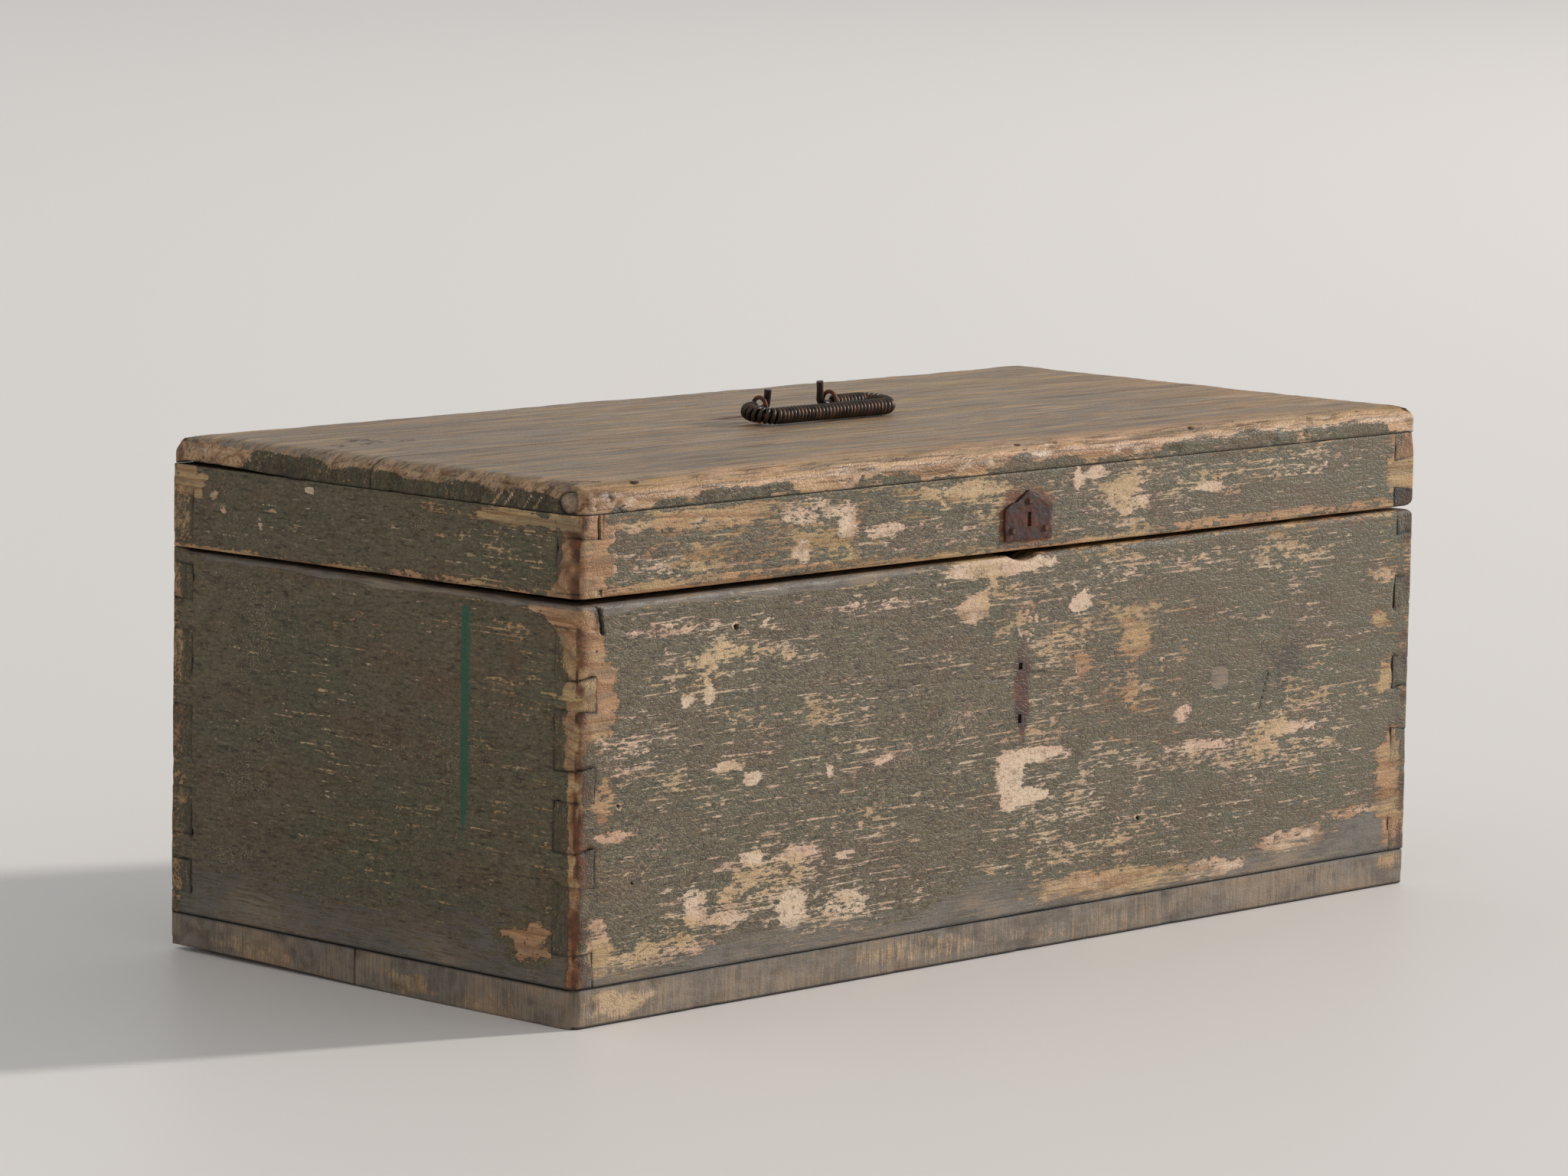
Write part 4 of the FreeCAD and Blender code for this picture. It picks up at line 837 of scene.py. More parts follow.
# where a board's points lie: their coordinates, the distances from the block's faces, the share of the depth,
# and whether they are on the block's front or its left face
def placesOf(p0, form):
    dx, dy, dTop, dBottom = faceDistances(p0, form)
    return SimpleNamespace(points=p0, x=p0[:, 0], y=p0[:, 1], z=p0[:, 2],
                           dx=dx, dy=dy, dTop=dTop, dBottom=dBottom,
                           back=(p0[:, 1] - yFront) / (yBack - yFront),
                           onFront=p0[:, 1] < yFront + 1.0, onLeft=p0[:, 0] < xLeft + 1.0)


# The marks of every board. Its relief is how deep a point has sunk: slow waves, nicks along the edges, bites
# at the joints and joint lines more or less open.
def firstMarks(at, name, spec, form):
    upright, seed = spec["plane"] != "xy", form["seed"] + len(name)
    joint = jointDistance(at.points, form)
    endGrain = np.minimum(at.dx, at.dy) == (at.dy if spec["plane"] == "yz" else at.dx)
    bare, timber = wearMarks(at, form, facePatches[spec["form"]])
    rust, green, cool, dents, fresh = (np.zeros(len(at.x)) for k in range(5))
    stretch = (40, 40, 3.5) if upright else (60, 3.5, 3.5)
    fromEdge = np.minimum(np.maximum(at.dx, at.dy), at.dTop) if upright else np.minimum(at.dx, at.dy)
    nicks = np.clip(softNoise(at.points, 8, seed + 3) - 0.3, 0, 1) * np.exp(-fromEdge / 5.0)
    bites = np.clip(softNoise(at.points, (5, 5, 7), seed + 4) - 0.2, 0, 1) * bell(joint, 2.2)
    gaping = np.clip(0.5 + 0.9 * softNoise(at.points, (14, 14, 10), form["seed"] + 5), 0, 1)
    relief = 0.14 * (1 + softNoise(at.points, stretch, seed)) \
        + form["wave"] * 0.5 * (1 + softNoise(at.points, (110, 110, 60), form["seed"] + 1))
    relief += 0.5 * gaping * bell(joint, 0.6) + 2.2 * nicks + 2.6 * bites - 0.12 * endGrain
    grime = 1.1 * gaping * bell(joint, 0.85) + 1.1 * bites + 0.5 * nicks
    return SimpleNamespace(relief=relief, bare=bare, grime=grime, cool=cool, rust=rust, timber=timber,
                           green=green, dents=dents, endGrain=endGrain, fresh=fresh)


# small round holes: a bowl as deep as 1 minus the squared distance, dark inside, with a chipped rim
def frontPitMarks(at, marks):
    for x, z, radius, depth in frontPits:
        fromPit = np.hypot(at.x - x, at.z - z) / radius + 0.3 * softNoise(at.points, 2.2, 73)
        marks.relief += depth * np.clip(1 - fromPit * fromPit, 0, 1) * at.onFront
        marks.grime += min(1, depth / 2) * ramp(fromPit, 1.1, 0.6) * at.onFront
        rim = 0.95 * bell(fromPit - 1.6, 0.45) * np.clip(0.7 + softNoise(at.points, 3, 75), 0, 1)
        marks.bare = np.where(at.onFront, np.maximum(marks.bare, rim), marks.bare)


# the lid boards are painted only low on their edges; on top they are weathered wood, fresh where hands wore
# it
def lidTopMarks(at, marks, seed):
    p0, onEnd = at.points, at.dx < at.dy
    paintTop = np.where(onEnd, np.interp(at.y, lidEdgeLeft["y"], lidEdgeLeft["height"]),
                        np.interp(at.x, lidEdgeFront["x"], lidEdgeFront["height"]))
    paintTop = np.where(np.where(onEnd, at.x > 0, at.y > 0), 11, paintTop)
    jag = 1.5 * softNoise(p0, (9, 9, 6), 91) + 2.4 * softNoise(p0, (22, 22, 2.6), 92)
    jag = jag + 1.2 * softNoise(p0, 2.5, 99)
    marks.bare = 1.35 * ramp(at.dBottom + jag, paintTop - 3.0, paintTop + 2.5)
    marks.bare -= 0.55 * ramp(spotDistance(at, at.x, at.y, "paintRemnant"), 1.2, 0.4) * (at.dTop < 2)
    marks.timber = np.where(at.dTop < 6, 1.0, 0.55 + 0.5 * softNoise(p0, (9, 9, 5), 90))

    # a band along the front edge, the ends and the right part are fresher
    bandWidth = 26 + 12 * softNoise(p0, (60, 999, 999), 96)
    fresh = ramp(at.dy, bandWidth * 1.3, bandWidth * 0.7) * (at.back < 0.5)
    fresh = np.maximum(fresh, ramp(at.dx, 15, 6) * (at.y < 40))
    fresh = np.maximum(fresh, 0.75 * ramp(at.x, 230, 350) * (at.back < 0.7))
    fresh = np.where(at.dTop > 3, 1, fresh * np.clip(0.75 + 0.5 * softNoise(p0, (34, 10, 10), 94), 0, 1))
    marks.dents = ramp(at.dy, 46, 22) * (at.back < 0.5) * (at.dTop < 8)

    # dirt in the joint under the boards, in streaks on top and towards the left front corner
    marks.grime += 0.9 * bell(at.dBottom, 0.9)
    streaks = ramp(softNoise(p0, (160, 14, 50), seed + 9), 0.0, 0.5)
    marks.grime += 0.1 * ramp(np.minimum(at.dx, at.dy), 6, 30) * streaks
    marks.grime += 0.1 * ramp(at.x, -60, -300) + 0.12 * ramp(np.hypot(at.x - xLeft, at.y - yFront), 50, 25)
    marks.rust = 1.2 * ramp(spotDistance(at, at.x, at.y, "handleRust"), 1.2, 0.3) * (at.dTop < 2)
    marks.rust += 0.55 * ramp(at.y, 148, 166) * at.onLeft

    # the left front corner is torn, with a knot beside it
    torn = np.linalg.norm((p0 - tornCorner["middle"]) / tornCorner["half"], axis=1)
    hollows = np.clip(softNoise(p0, (4, 4, 2.6), 95), 0, 1) * ramp(torn, 1.15, 0.6)
    marks.relief += 2.4 * hollows
    marks.grime += 0.9 * ramp(hollows, 0.3, 0.7)
    marks.rust += 0.5 * ramp(torn, 1.15, 0.7)
    knot = np.linalg.norm((p0 - cornerKnot["middle"]) / cornerKnot["half"], axis=1)
    ring = bell(knot - 1, 0.14) * ramp(at.y - at.x - (yFront - xLeft), -4, 8)
    marks.relief += 0.8 * ring
    marks.grime += 0.8 * ring
    marks.fresh = fresh * ramp(knot, 0.8, 1.05)


# the grey coat low on the walls, a pale band along their top edge in the coat's colour that is a painted
# highlight on the worn arris, a green line, rust, scuffs and dirt
def wallMarks(at, marks):
    p0 = at.points
    line = 34 + 12 * softNoise(p0, (70, 70, 999), 71) + 16 * ramp(at.x, 200, 380)
    cool = 0.62 * ramp(at.z, line + 22, line - 12)
    cool = np.where(at.onLeft, 0.4 * ramp(at.z, 100, 25), cool)
    # the pale band along the top edge is a painted highlight where the worn arris catches the light
    band = 6.5 + 2.5 * softNoise(p0, (26, 26, 26), 72)
    share = np.where(at.onLeft, 0.85 * ramp(at.y, 165, 120), ramp(at.x, 20, -250))
    cool = np.maximum(cool, share * ramp(at.dTop, band, band - 3))
    cool = cool - 0.75 * marks.bare * marks.timber * ramp(at.dTop, 0, 6)
    across = np.exp(-((at.y - greenLine["y"]) / greenLine["halfWidth"]) ** 4) * at.onLeft
    marks.green = across * ramp(at.z, *greenLine["lowEnd"]) * ramp(at.z, *greenLine["highEnd"])

    # rust under the lost staple, down the near corner and on the left end
    down = spotDistance(at, at.x, at.z, "stapleRust")
    marks.rust = 1.7 * ramp(down, 1.3, 0.4) * at.onFront
    ridge = bell(np.maximum(at.dx, at.dy), 6) * (at.x < 0) * (at.back < 0.2)
    marks.rust += 1.4 * ridge * ramp(softNoise(p0, (9, 9, 24), 83), -0.3, 0.4) * ramp(at.z, 215, 150)
    marks.rust += 0.5 * ramp(spotDistance(at, at.y, at.z, "ochre"), 1.2, 0.2) * at.onLeft
    # the walls' bottom edge darkens where they stand on the base: partly dirt in the joint, partly painted
    # shade of the gap
    marks.grime += 0.3 * ramp(down, 1.2, 0.3) * at.onFront + 0.9 * bell(at.dBottom, 1.1)
    for z in stapleHoles["z"]:
        marks.grime += 0.6 * bell(np.hypot(at.x, at.z - z), 5.5) * at.onFront

    # a dirty scuff, a grey disc of filler with a dark rim, and the pale ring that something left
    marks.grime += 0.45 * ramp(spotDistance(at, at.x, at.z, "scuff"), 0.9, 0.5) * at.onFront
    disc = spotDistance(at, at.x, at.z, "greyDisc")
    marks.cool = np.where(at.onFront, np.maximum(cool, ramp(disc, 1.02, 0.85)), cool)
    marks.grime += 0.4 * bell(disc - 1.08, 0.14) * at.onFront
    bare = np.where(at.onFront & (disc < 1.1), 0, marks.bare)
    paleRing = 0.75 * bell(spotDistance(at, at.x, at.z, "paleRing") - 1, 0.13)
    marks.bare = np.where(at.onFront, np.maximum(bare, paleRing), bare)

    # stained strips at both ends of the front
    stained = bell(at.dx, np.where(at.x < 0, 15, 11)) * at.onFront
    stained = stained * ramp(softNoise(p0, (6, 6, 8), 98), -0.2, 0.4)
    marks.rust += 0.8 * stained
    marks.grime += stained * np.where(at.x < 0, 0.25, 0.5)


# rust round the clasp plate and down the near corner; the right rail's end is stained at the front
def lidWallMarks(at, marks, name):
    marks.rust = 0.9 * ramp(spotDistance(at, at.x, at.z, "claspRust"), 1.2, 0.7) * at.onFront
    ridge = bell(np.maximum(at.dx, at.dy), 13) * (at.x < 0) * (at.back < 0.3)
    ridge *= ramp(softNoise(at.points, (7, 7, 9), 89), -0.2, 0.4)
    marks.rust += 1.1 * ridge
    marks.grime += 0.3 * ridge
    if name == "lidRightRail":
        below = ramp(at.z, 266, 260)
        marks.rust += at.onFront * (0.3 + 0.8 * below)
        marks.grime += at.onFront * (0.1 + 0.6 * below)


# the base is brushed grey all over; its top edge darkens where the walls stand on it, partly dirt in the
# joint and partly painted shade of the gap, and a dark line along its front foot is a painted contact shadow
def baseMarks(at, marks):
    marks.cool = 0.95 - 0.8 * marks.bare
    marks.grime += 0.95 * bell(at.dTop, 1.0) + 0.9 * ramp(at.dBottom, 2.4, 0.9) * at.onFront


# inside, the wood was never painted; end grain is dark only where paint or open air reaches it
def insideMarks(at, marks, spec, thickness, seed):
    lid = spec["form"] == "lidTop"
    fromOutside = {"xz": at.dy, "yz": at.dx, "xy": at.dTop if lid else at.dBottom}[spec["plane"]]
    beside = {"xz": at.dx, "yz": at.dy, "xy": np.minimum(at.dx, at.dy)}[spec["plane"]]
    inside = (fromOutside > thickness - 1.0) & (beside > 1.5)
    dust = 0.12 * (1 + softNoise(at.points, (50, 50, 20), seed + 6))
    for mark, value in dict(bare=1.5, timber=1.0, grime=dust, rust=0, cool=0, fresh=0.8 * lid).items():
        setattr(marks, mark, np.where(inside, value, getattr(marks, mark)))
    marks.endGrain = marks.endGrain * np.clip(1 - 0.75 * marks.bare, 0, 1) * (at.dTop > (3 if lid else -1)) \
        * (spec["form"] != "base")
    marks.grime = np.clip(marks.grime, 0, 1)


# ends are rounded, tails flared, and each block has warped: walls sunk under the lid, the lid's rails and
# boards and the base lifted at places, every lift fading out over the first millimetres above the block's
# lower face
def warp(at, p, form, kind):
    p0 = at.points
    if kind in ("walls", "lidWalls"):
        edge, radius, side = (form["high"][2], 7.0, 1) if kind == "walls" else (form["low"][2], 9.0, -1)
        roundRightEnd(p, edge, radius, side, ramp(at.back, 0.6, 0.1))
        flareTails(p0, p, form)
    if kind == "walls":
        lowerWallTop(p0, p)
    if kind == "lidWalls":
        p[:, 0] -= 2.2 * ramp(at.z, 280, 296) * ramp(at.x, xRight - 20, xRight) * ramp(at.back, 0.5, 0.1)
        p[:, 2] += lidRise * (1 - at.back) * np.clip(1 - at.dBottom / 12, 0, 1)
    if kind == "lidTop":
        lift = ramp(at.x, -290, xLeft) * ramp(at.y, 40, 150) * ramp(at.y, 172, 158)
        p[:, 2] += 2.4 * lift * np.clip(1 - at.dBottom / 12, 0, 1)
    if kind == "base":
        lift = ramp(at.x, -150, xLeft) * ramp(at.y, -60, 130)
        p[:, 2] += 3.0 * lift * np.clip(1 - at.dBottom / 16, 0, 1)


# ends: a tailed board shows the gaps between its tails, a pinned one the sockets between its pins
carcaseBoard = dict(body="carcase", form="walls", slot="painted_pine")
lidRail = dict(body="lid", form="lidWalls", slot="painted_pine")
baseBoard = dict(body="carcase", form="base", slot="greyed_pine", plane="xy", ends="plain", material=basePine)
lidBoard = dict(body="lid", form="lidTop", slot="weathered_pine", plane="xy", ends="plain")
tailed = dict(plane="xz", ends="tail", material=paintedX)
pinned = dict(plane="yz", ends="pin", material=paintedY)

# each board: the node that it stands for, its body, the block that it wears with, its plane and its ends
boards = dict(
    frontBoard=dict(node="front_board", **carcaseBoard, **tailed),
    backBoard=dict(node="back_board", **carcaseBoard, **tailed),
    leftEndBoard=dict(node="left_end_board", **carcaseBoard, **pinned),
    rightEndBoard=dict(node="right_end_board", **carcaseBoard, **pinned),
    baseBoardFront=dict(node="base_board_front", **baseBoard),
    baseBoardRear=dict(node="base_board_rear", **baseBoard),
    lidFrontRail=dict(node="lid_front_rail", **lidRail, **tailed),
    lidBackRail=dict(node="lid_back_rail", **lidRail, **tailed),
    lidLeftRail=dict(node="lid_left_rail", **lidRail, **pinned),
    lidRightRail=dict(node="lid_right_rail", **lidRail, **pinned),
    lidTopFront=dict(node="lid_top_board_front", material=topPine, **lidBoard),
    lidTopRear=dict(node="lid_top_board_rear", material=topPineRear, **lidBoard),
)
facePatches = dict(walls=(frontPatches, sidePatches), lidWalls=(railPatches, sideRailPatches),
                   lidTop=([], []), base=(basePatches, sideBasePatches))


# A board is a slab of grid cells over its two wide axes, with grid lines at its joints and marks. The cells
# of its sockets and holes are left out.
def boardGrid(name, spec, form, low, high):
    wide, tall, thin = {"xz": (0, 2, 1), "yz": (1, 2, 0), "xy": (0, 1, 2)}[spec["plane"]]
    upright, isTailed = spec["plane"] != "xy", spec["ends"] == "tail"
    stopsWide, stopsTall = [low[wide], high[wide]], [low[tall], high[tall]]
    if upright:
        depth = form["tail"] if isTailed else form["side"]
        stopsWide += [low[wide] + depth, high[wide] - depth]
        corner = int(low[1] + high[1] > 0) if isTailed else 2 * int(low[0] + high[0] > 0)
        spans = (form["spans"][corner], form["spans"][corner + (2 if isTailed else 1)])
        stopsTall += [z for ends in spans for z in ends.ravel()]
    holes = [(stapleHoles["x"], z, stapleHoles["width"] / 2, stapleHoles["height"] / 2)
             for z in stapleHoles["z"]]
    holes = holes if name == "frontBoard" else []
    pits = [(x, z, radius, radius) for x, z, radius, pitDepth in frontPits] if name == "frontBoard" else []
    for u, v, halfWidth, halfHeight in holes + pits:
        stopsWide += [u - halfWidth, u + halfWidth]
        stopsTall += [v - halfHeight, v + halfHeight]
    for first, last, width, crackDepth in cracks.get(name, []):
        stopsWide += [first[wide], last[wide]] if abs(first[wide] - last[wide]) < shortCrack else []
        stopsTall += [first[tall], last[tall]] if abs(first[tall] - last[tall]) < shortCrack else []
    for first, last, width in scrapes.get(name, []):
        stopsTall += [first[tall], last[tall]]
    stopsWide = [stop for stop in stopsWide if low[wide] <= stop <= high[wide]]
    stopsTall = [stop for stop in stopsTall if low[tall] <= stop <= high[tall]]
    fine, reach = (1.0, 30.0) if pits else (0.8, 45.0)      # the pits bring many lines of their own
    linesWide = gridLines(stopsWide, fine, 5.0, reach)
    linesTall = gridLines(stopsTall, fine, *((2.4, 12.0) if upright else (4.0, 35.0)))
    linesThin = gridLines([low[thin], high[thin]], 0.9, 1.8, 6.0)
    midWide, midTall = (linesWide[1:] + linesWide[:-1]) / 2, (linesTall[1:] + linesTall[:-1]) / 2
    keep = np.ones((len(midWide), len(midTall)), bool)
    if upright:
        for edge, ends in zip((low[wide], high[wide]), spans):
            inTail = ((midTall[:, None] > ends[None, :, 0]) & (midTall[:, None] < ends[None, :, 1])).any(1)
            gone = ~inTail if isTailed else inTail
            keep &= ~((np.abs(midWide - edge) < depth)[:, None] & gone[None, :])
    for u, v, halfWidth, halfHeight in holes:
        keep &= ~((np.abs(midWide - u) < halfWidth)[:, None] & (np.abs(midTall - v) < halfHeight)[None, :])
    faces = slabFaces(keep, len(linesThin) - 1)
    if spec["plane"] == "xz":
        faces = faces[:, ::-1]
    grid = np.stack(np.meshgrid(linesWide, linesTall, linesThin, indexing="ij"), -1).reshape(-1, 3)
    used, faces = np.unique(faces, return_inverse=True)
    points = np.empty((len(used), 3))
    points[:, [wide, tall, thin]] = grid[used]
    return points, faces.reshape(-1, 4), high[thin] - low[thin]


# one board: its grid, its marks, then its worn shape
def makeBoard(name, spec):
    kind, form = spec["form"], forms[spec["form"]]
    low, high = nodeBox(spec["node"])
    if spec["plane"] != "xy":
        low[2], high[2] = form["low"][2], form["high"][2]
    p0, faces, thickness = boardGrid(name, spec, form, low, high)
    at, seed = placesOf(p0, form), form["seed"] + len(name)
    marks = firstMarks(at, name, spec, form)
    if name == "frontBoard":
        frontPitMarks(at, marks)
    if spec["plane"] == "xy":
        seam = high[1] - at.y if name.endswith("Front") else at.y - low[1]
        marks.relief += 0.5 * bell(seam, 0.9)
        marks.grime += 0.9 * bell(seam, 0.7)
    for first, last, width, depth in cracks.get(name, []):
        fromCrack = segmentDistance(p0, first, last) / width
        marks.relief += depth * np.clip(1 - fromCrack, 0, 1)
        marks.grime += ramp(fromCrack, 1.3, 0.4)
    if kind == "lidTop":
        lidTopMarks(at, marks, seed)
    if kind == "walls":
        wallMarks(at, marks)
    if kind == "lidWalls":
        lidWallMarks(at, marks, name)
    if kind == "base":
        baseMarks(at, marks)
    for first, last, width in scrapes.get(name, []):
        fromScrape = segmentDistance(p0, first, last) / width
        marks.bare = np.maximum(marks.bare, ramp(fromScrape, 1.6, 0.8))
        marks.timber = np.where(fromScrape < 1, 0.0, marks.timber)
    insideMarks(at, marks, spec, thickness, seed)

    # worn edges, then the relief, square to the faces, then the warp, held inside the chest's own outline
    p = p0.copy()
    wearEdges(p0, p, form)
    pushIn(p0, p, form, marks.relief * heldCorners(p0), lid=kind == "lidTop")
    warp(at, p, form, kind)
    p[:, :2] = np.clip(p[:, :2], [xLeft, yFront], [xRight, yBack])
    attributes = {}
    for key, names in markNames.items():
        attributes[key] = np.column_stack([getattr(marks, mark) for mark in names])
    piece = newPiece(name, p, [faces], 38, attributes)
    finishPiece(piece, spec["material"], spec["body"], [spec["node"]])
    return len(faces) * 2


for boardName, boardSpec in boards.items():
    print(boardName, makeBoard(boardName, boardSpec), "triangles")

# the wire handle: radii of the wires, the bail's bends and stubs, the wrapped coil and the two eyes, all
# along x from the chest's middle
handle = dict(wire=2.25, spread=21.0, leftTurn=-49.2, rightTurn=45.7, bend=4.2, leftStub=(-38.0, 12.0),
              rightStub=(9.8, 14.3), wrapWire=1.5, wrapClear=0.05, pitch=3.15, armEnd=21.0,
              axisFromFront=181.9, eyeInner=4.25, eyeWire=1.3, eyeStand=2.5, eyeLeg=12.0, eyeBend=2.0,
              rest=0.3, leftEye=-44.2, rightEye=19.0)
bailY = yFront + handle["axisFromFront"]
eyeZ = zTop + handle["eyeStand"] + 2 * handle["eyeWire"] + handle["eyeInner"]
bailZ = eyeZ - handle["eyeInner"] + handle["rest"] + handle["wire"]
wrapRadius = handle["wire"] + handle["wrapClear"] + 2 * handle["wrapWire"]
tilt = math.asin((bailZ - zTop - handle["rest"] - wrapRadius) / handle["spread"])
outward = np.array([0, -math.cos(tilt), -math.sin(tilt)])
upward = np.array([0, -math.sin(tilt), math.cos(tilt)])
turn = handle["spread"] / 2
gripLength = handle["rightTurn"] - handle["leftTurn"]


# a point of the bail: along x, out from its axis in its own tilted plane, and up from that plane
def bailPlace(x, out, up):
    axis = np.array([0, bailY, bailZ]) + np.outer(x, [1, 0, 0])
    return axis + np.outer(out, outward) + np.outer(up, upward)


# the bail's line in its own plane, by length: half a circle at the left, the straight grip, half a circle at
# the right and the right arm; gives x, distance out, and the tangent in the same two directions
def bailLine(length):
    half = math.pi * turn
    left, right = length / turn, (length - half - gripLength) / turn
    parts = [length < half, length < half + gripLength, length < 2 * half + gripLength]
    x = np.select(parts, [handle["leftTurn"] - turn * np.sin(left), handle["leftTurn"] + length - half,
                          handle["rightTurn"] + turn * np.sin(right)],
                  handle["rightTurn"] - (length - 2 * half - gripLength))
    y = np.select(parts, [turn * (1 - np.cos(left)), handle["spread"] + 0 * length,
                          turn * (1 + np.cos(right))],
                  0 * length)
    tangentX = np.select(parts, [-np.cos(left), 1 + 0 * length, np.cos(right)], -1)
    tangentY = np.select(parts, [np.sin(left), 0 * length, -np.sin(right)], 0)
    return x, y, tangentX, tangentY


# a round tube: at every point of a line, a ring in the plane of two directions, closed by a fan at each end
def tube(path, first, second, radius, sides, name, seed=1, rough=0.0):
    angle = np.linspace(0, 2 * math.pi, sides, endpoint=False)
    radius = np.broadcast_to(radius, len(path))[:, None, None]
    ring = first[:, None] * np.cos(angle)[None, :, None] + second[:, None] * np.sin(angle)[None, :, None]
    points = (path[:, None] + ring * radius).reshape(-1, 3)
    if rough:
        points = points + ring.reshape(-1, 3) * (rough * softNoise(points, 2.5, seed))[:, None]
    i, j = np.meshgrid(np.arange(len(path) - 1), np.arange(sides), indexing="ij")
    after = (j + 1) % sides
    quads = np.stack([i * sides + j, i * sides + after, (i + 1) * sides + after, (i + 1) * sides + j], -1)
    j, after = np.arange(sides), (np.arange(sides) + 1) % sides
    last = (len(path) - 1) * sides
    startFan = np.stack([after, j, np.full(sides, len(points))], -1)
    endFan = np.stack([last + j, last + after, np.full(sides, len(points) + 1)], -1)
    points = np.concatenate([points, [path[0], path[-1]]])
    return newPiece(name, points, [quads.reshape(-1, 4), startFan, endFan], 50)


# two directions square to a line, from a reference direction that the line never follows
def frameOf(path, reference):
    tangent = np.gradient(path, axis=0)
    tangent /= np.linalg.norm(tangent, axis=1)[:, None]
    first = np.cross(tangent, reference)
    first /= np.linalg.norm(first, axis=1)[:, None]
    return first, np.cross(tangent, first)


# the wrapped wire: a helix round the bail's line, at a radius that clears the bail
wrapLength = 2 * math.pi * turn + gripLength + (handle["rightTurn"] - handle["armEnd"])
turns = wrapLength / handle["pitch"]
along = np.linspace(0.3, wrapLength, int(turns * 22))
x, y, tangentX, tangentY = bailLine(along)
angle = 2 * math.pi * turns * along / wrapLength + 0.5
across = np.outer(-tangentY, [1, 0, 0]) + np.outer(tangentX, outward)
radial = across * np.cos(angle)[:, None] + upward * np.sin(angle)[:, None]
helix = bailPlace(x, y, 0 * along) + radial * (handle["wire"] + handle["wrapClear"] + handle["wrapWire"])
helixTangent = np.gradient(helix, axis=0)
helixTangent /= np.linalg.norm(helixTangent, axis=1)[:, None]
wireRadius = handle["wrapWire"] * (1 + 0.04 * softNoise(helix, 6, 91))
coil = tube(helix, np.cross(radial, helixTangent), radial, wireRadius, 8, "handleCoil")
finishPiece(coil, coilIron, "handle", ["handle_coil"])

# the bail: stub, bend, line of the grip, bend, stub
bend, quarter = handle["bend"], np.linspace(0, math.pi / 2, 9)
(leftX, leftHeight), (rightX, rightHeight) = handle["leftStub"], handle["rightStub"]
leftRise, rightRise = np.linspace(leftHeight, bend, 6)[:-1], np.linspace(bend, rightHeight, 6)[1:]
leftRun = np.linspace(leftX - bend, handle["leftTurn"], 5)
rightRun = np.linspace(handle["rightTurn"], rightX + bend, 12)
loop = bailLine(np.linspace(0, 2 * math.pi * turn + gripLength, 120))
leanOut = 1.2 * ((rightRise - bend) / (rightHeight - bend)) ** 2
path = np.concatenate([
    bailPlace(leftX + 0 * leftRise, 0 * leftRise, leftRise),
    bailPlace(leftX - bend + bend * np.cos(quarter), 0 * quarter, bend - bend * np.sin(quarter))[:-1],
    bailPlace(leftRun, 0 * leftRun, 0 * leftRun)[:-1],
    bailPlace(loop[0], loop[1], 0 * loop[0]),
    bailPlace(rightRun, 0 * rightRun, 0 * rightRun)[1:],
    bailPlace(rightX + bend - bend * np.sin(quarter), 0 * quarter, bend - bend * np.cos(quarter))[1:],
    bailPlace(rightX - leanOut, 0 * rightRise, rightRise),
])
frame1, frame2 = frameOf(path, 0.5 * outward + upward + np.array([0.2, 0, 0]))
bail = tube(path, frame1, frame2, handle["wire"], 14, "handleBail", 93, 0.12)
finishPiece(bail, coilIron, "handle", ["handle_bail"])


# a cotter eye: one wire bent into an upright ring, with both legs going down through the lid and clinched
def eyePath(x):
    ringRadius, gap = handle["eyeInner"] + handle["eyeWire"], handle["eyeWire"] + 0.05
    start = math.asin(gap / ringRadius)
    around = np.linspace(start, 2 * math.pi - start, 40)
    ringY, ringZ = bailY - ringRadius * np.sin(around), eyeZ - ringRadius * np.cos(around)
    clinchZ, bendRadius = zRailTop - handle["eyeWire"] - handle["rest"], handle["eyeBend"]
    quarter = np.linspace(0, math.pi / 2, 6)
    bendY = bailY - gap - bendRadius * (1 - np.sin(quarter))
    legY = np.concatenate([[bailY - gap - bendRadius - handle["eyeLeg"]], bendY])
    legZ = np.concatenate([[clinchZ], clinchZ + bendRadius * (1 - np.cos(quarter))])
    ys = np.concatenate([legY, ringY, 2 * bailY - legY[::-1]])
    zs = np.concatenate([legZ, ringZ, legZ[::-1]])
    return np.column_stack([np.full(len(ys), x), ys, zs])


for side in ("left", "right"):
    path = eyePath(handle[side + "Eye"])
    frame1, frame2 = frameOf(path, np.array([1.0, 0, 0]))
    eye = tube(path, frame1, frame2, handle["eyeWire"], 12, side + "HandleEye", 95, 0.1)
    finishPiece(eye, eyeIron, "lid", [side + "_handle_eye"])
print("handle made")

plate = dict(left=-18.5, width=42.9, bottom=254.1, shoulder=19.0, height=30.4, thickness=1.8, slotWidth=3.2,
             slotHeight=9.0, slotMiddle=0.42,           # of the plate's height
             sinkAtSide=0.95, eaten=1.5, pitted=0.25)


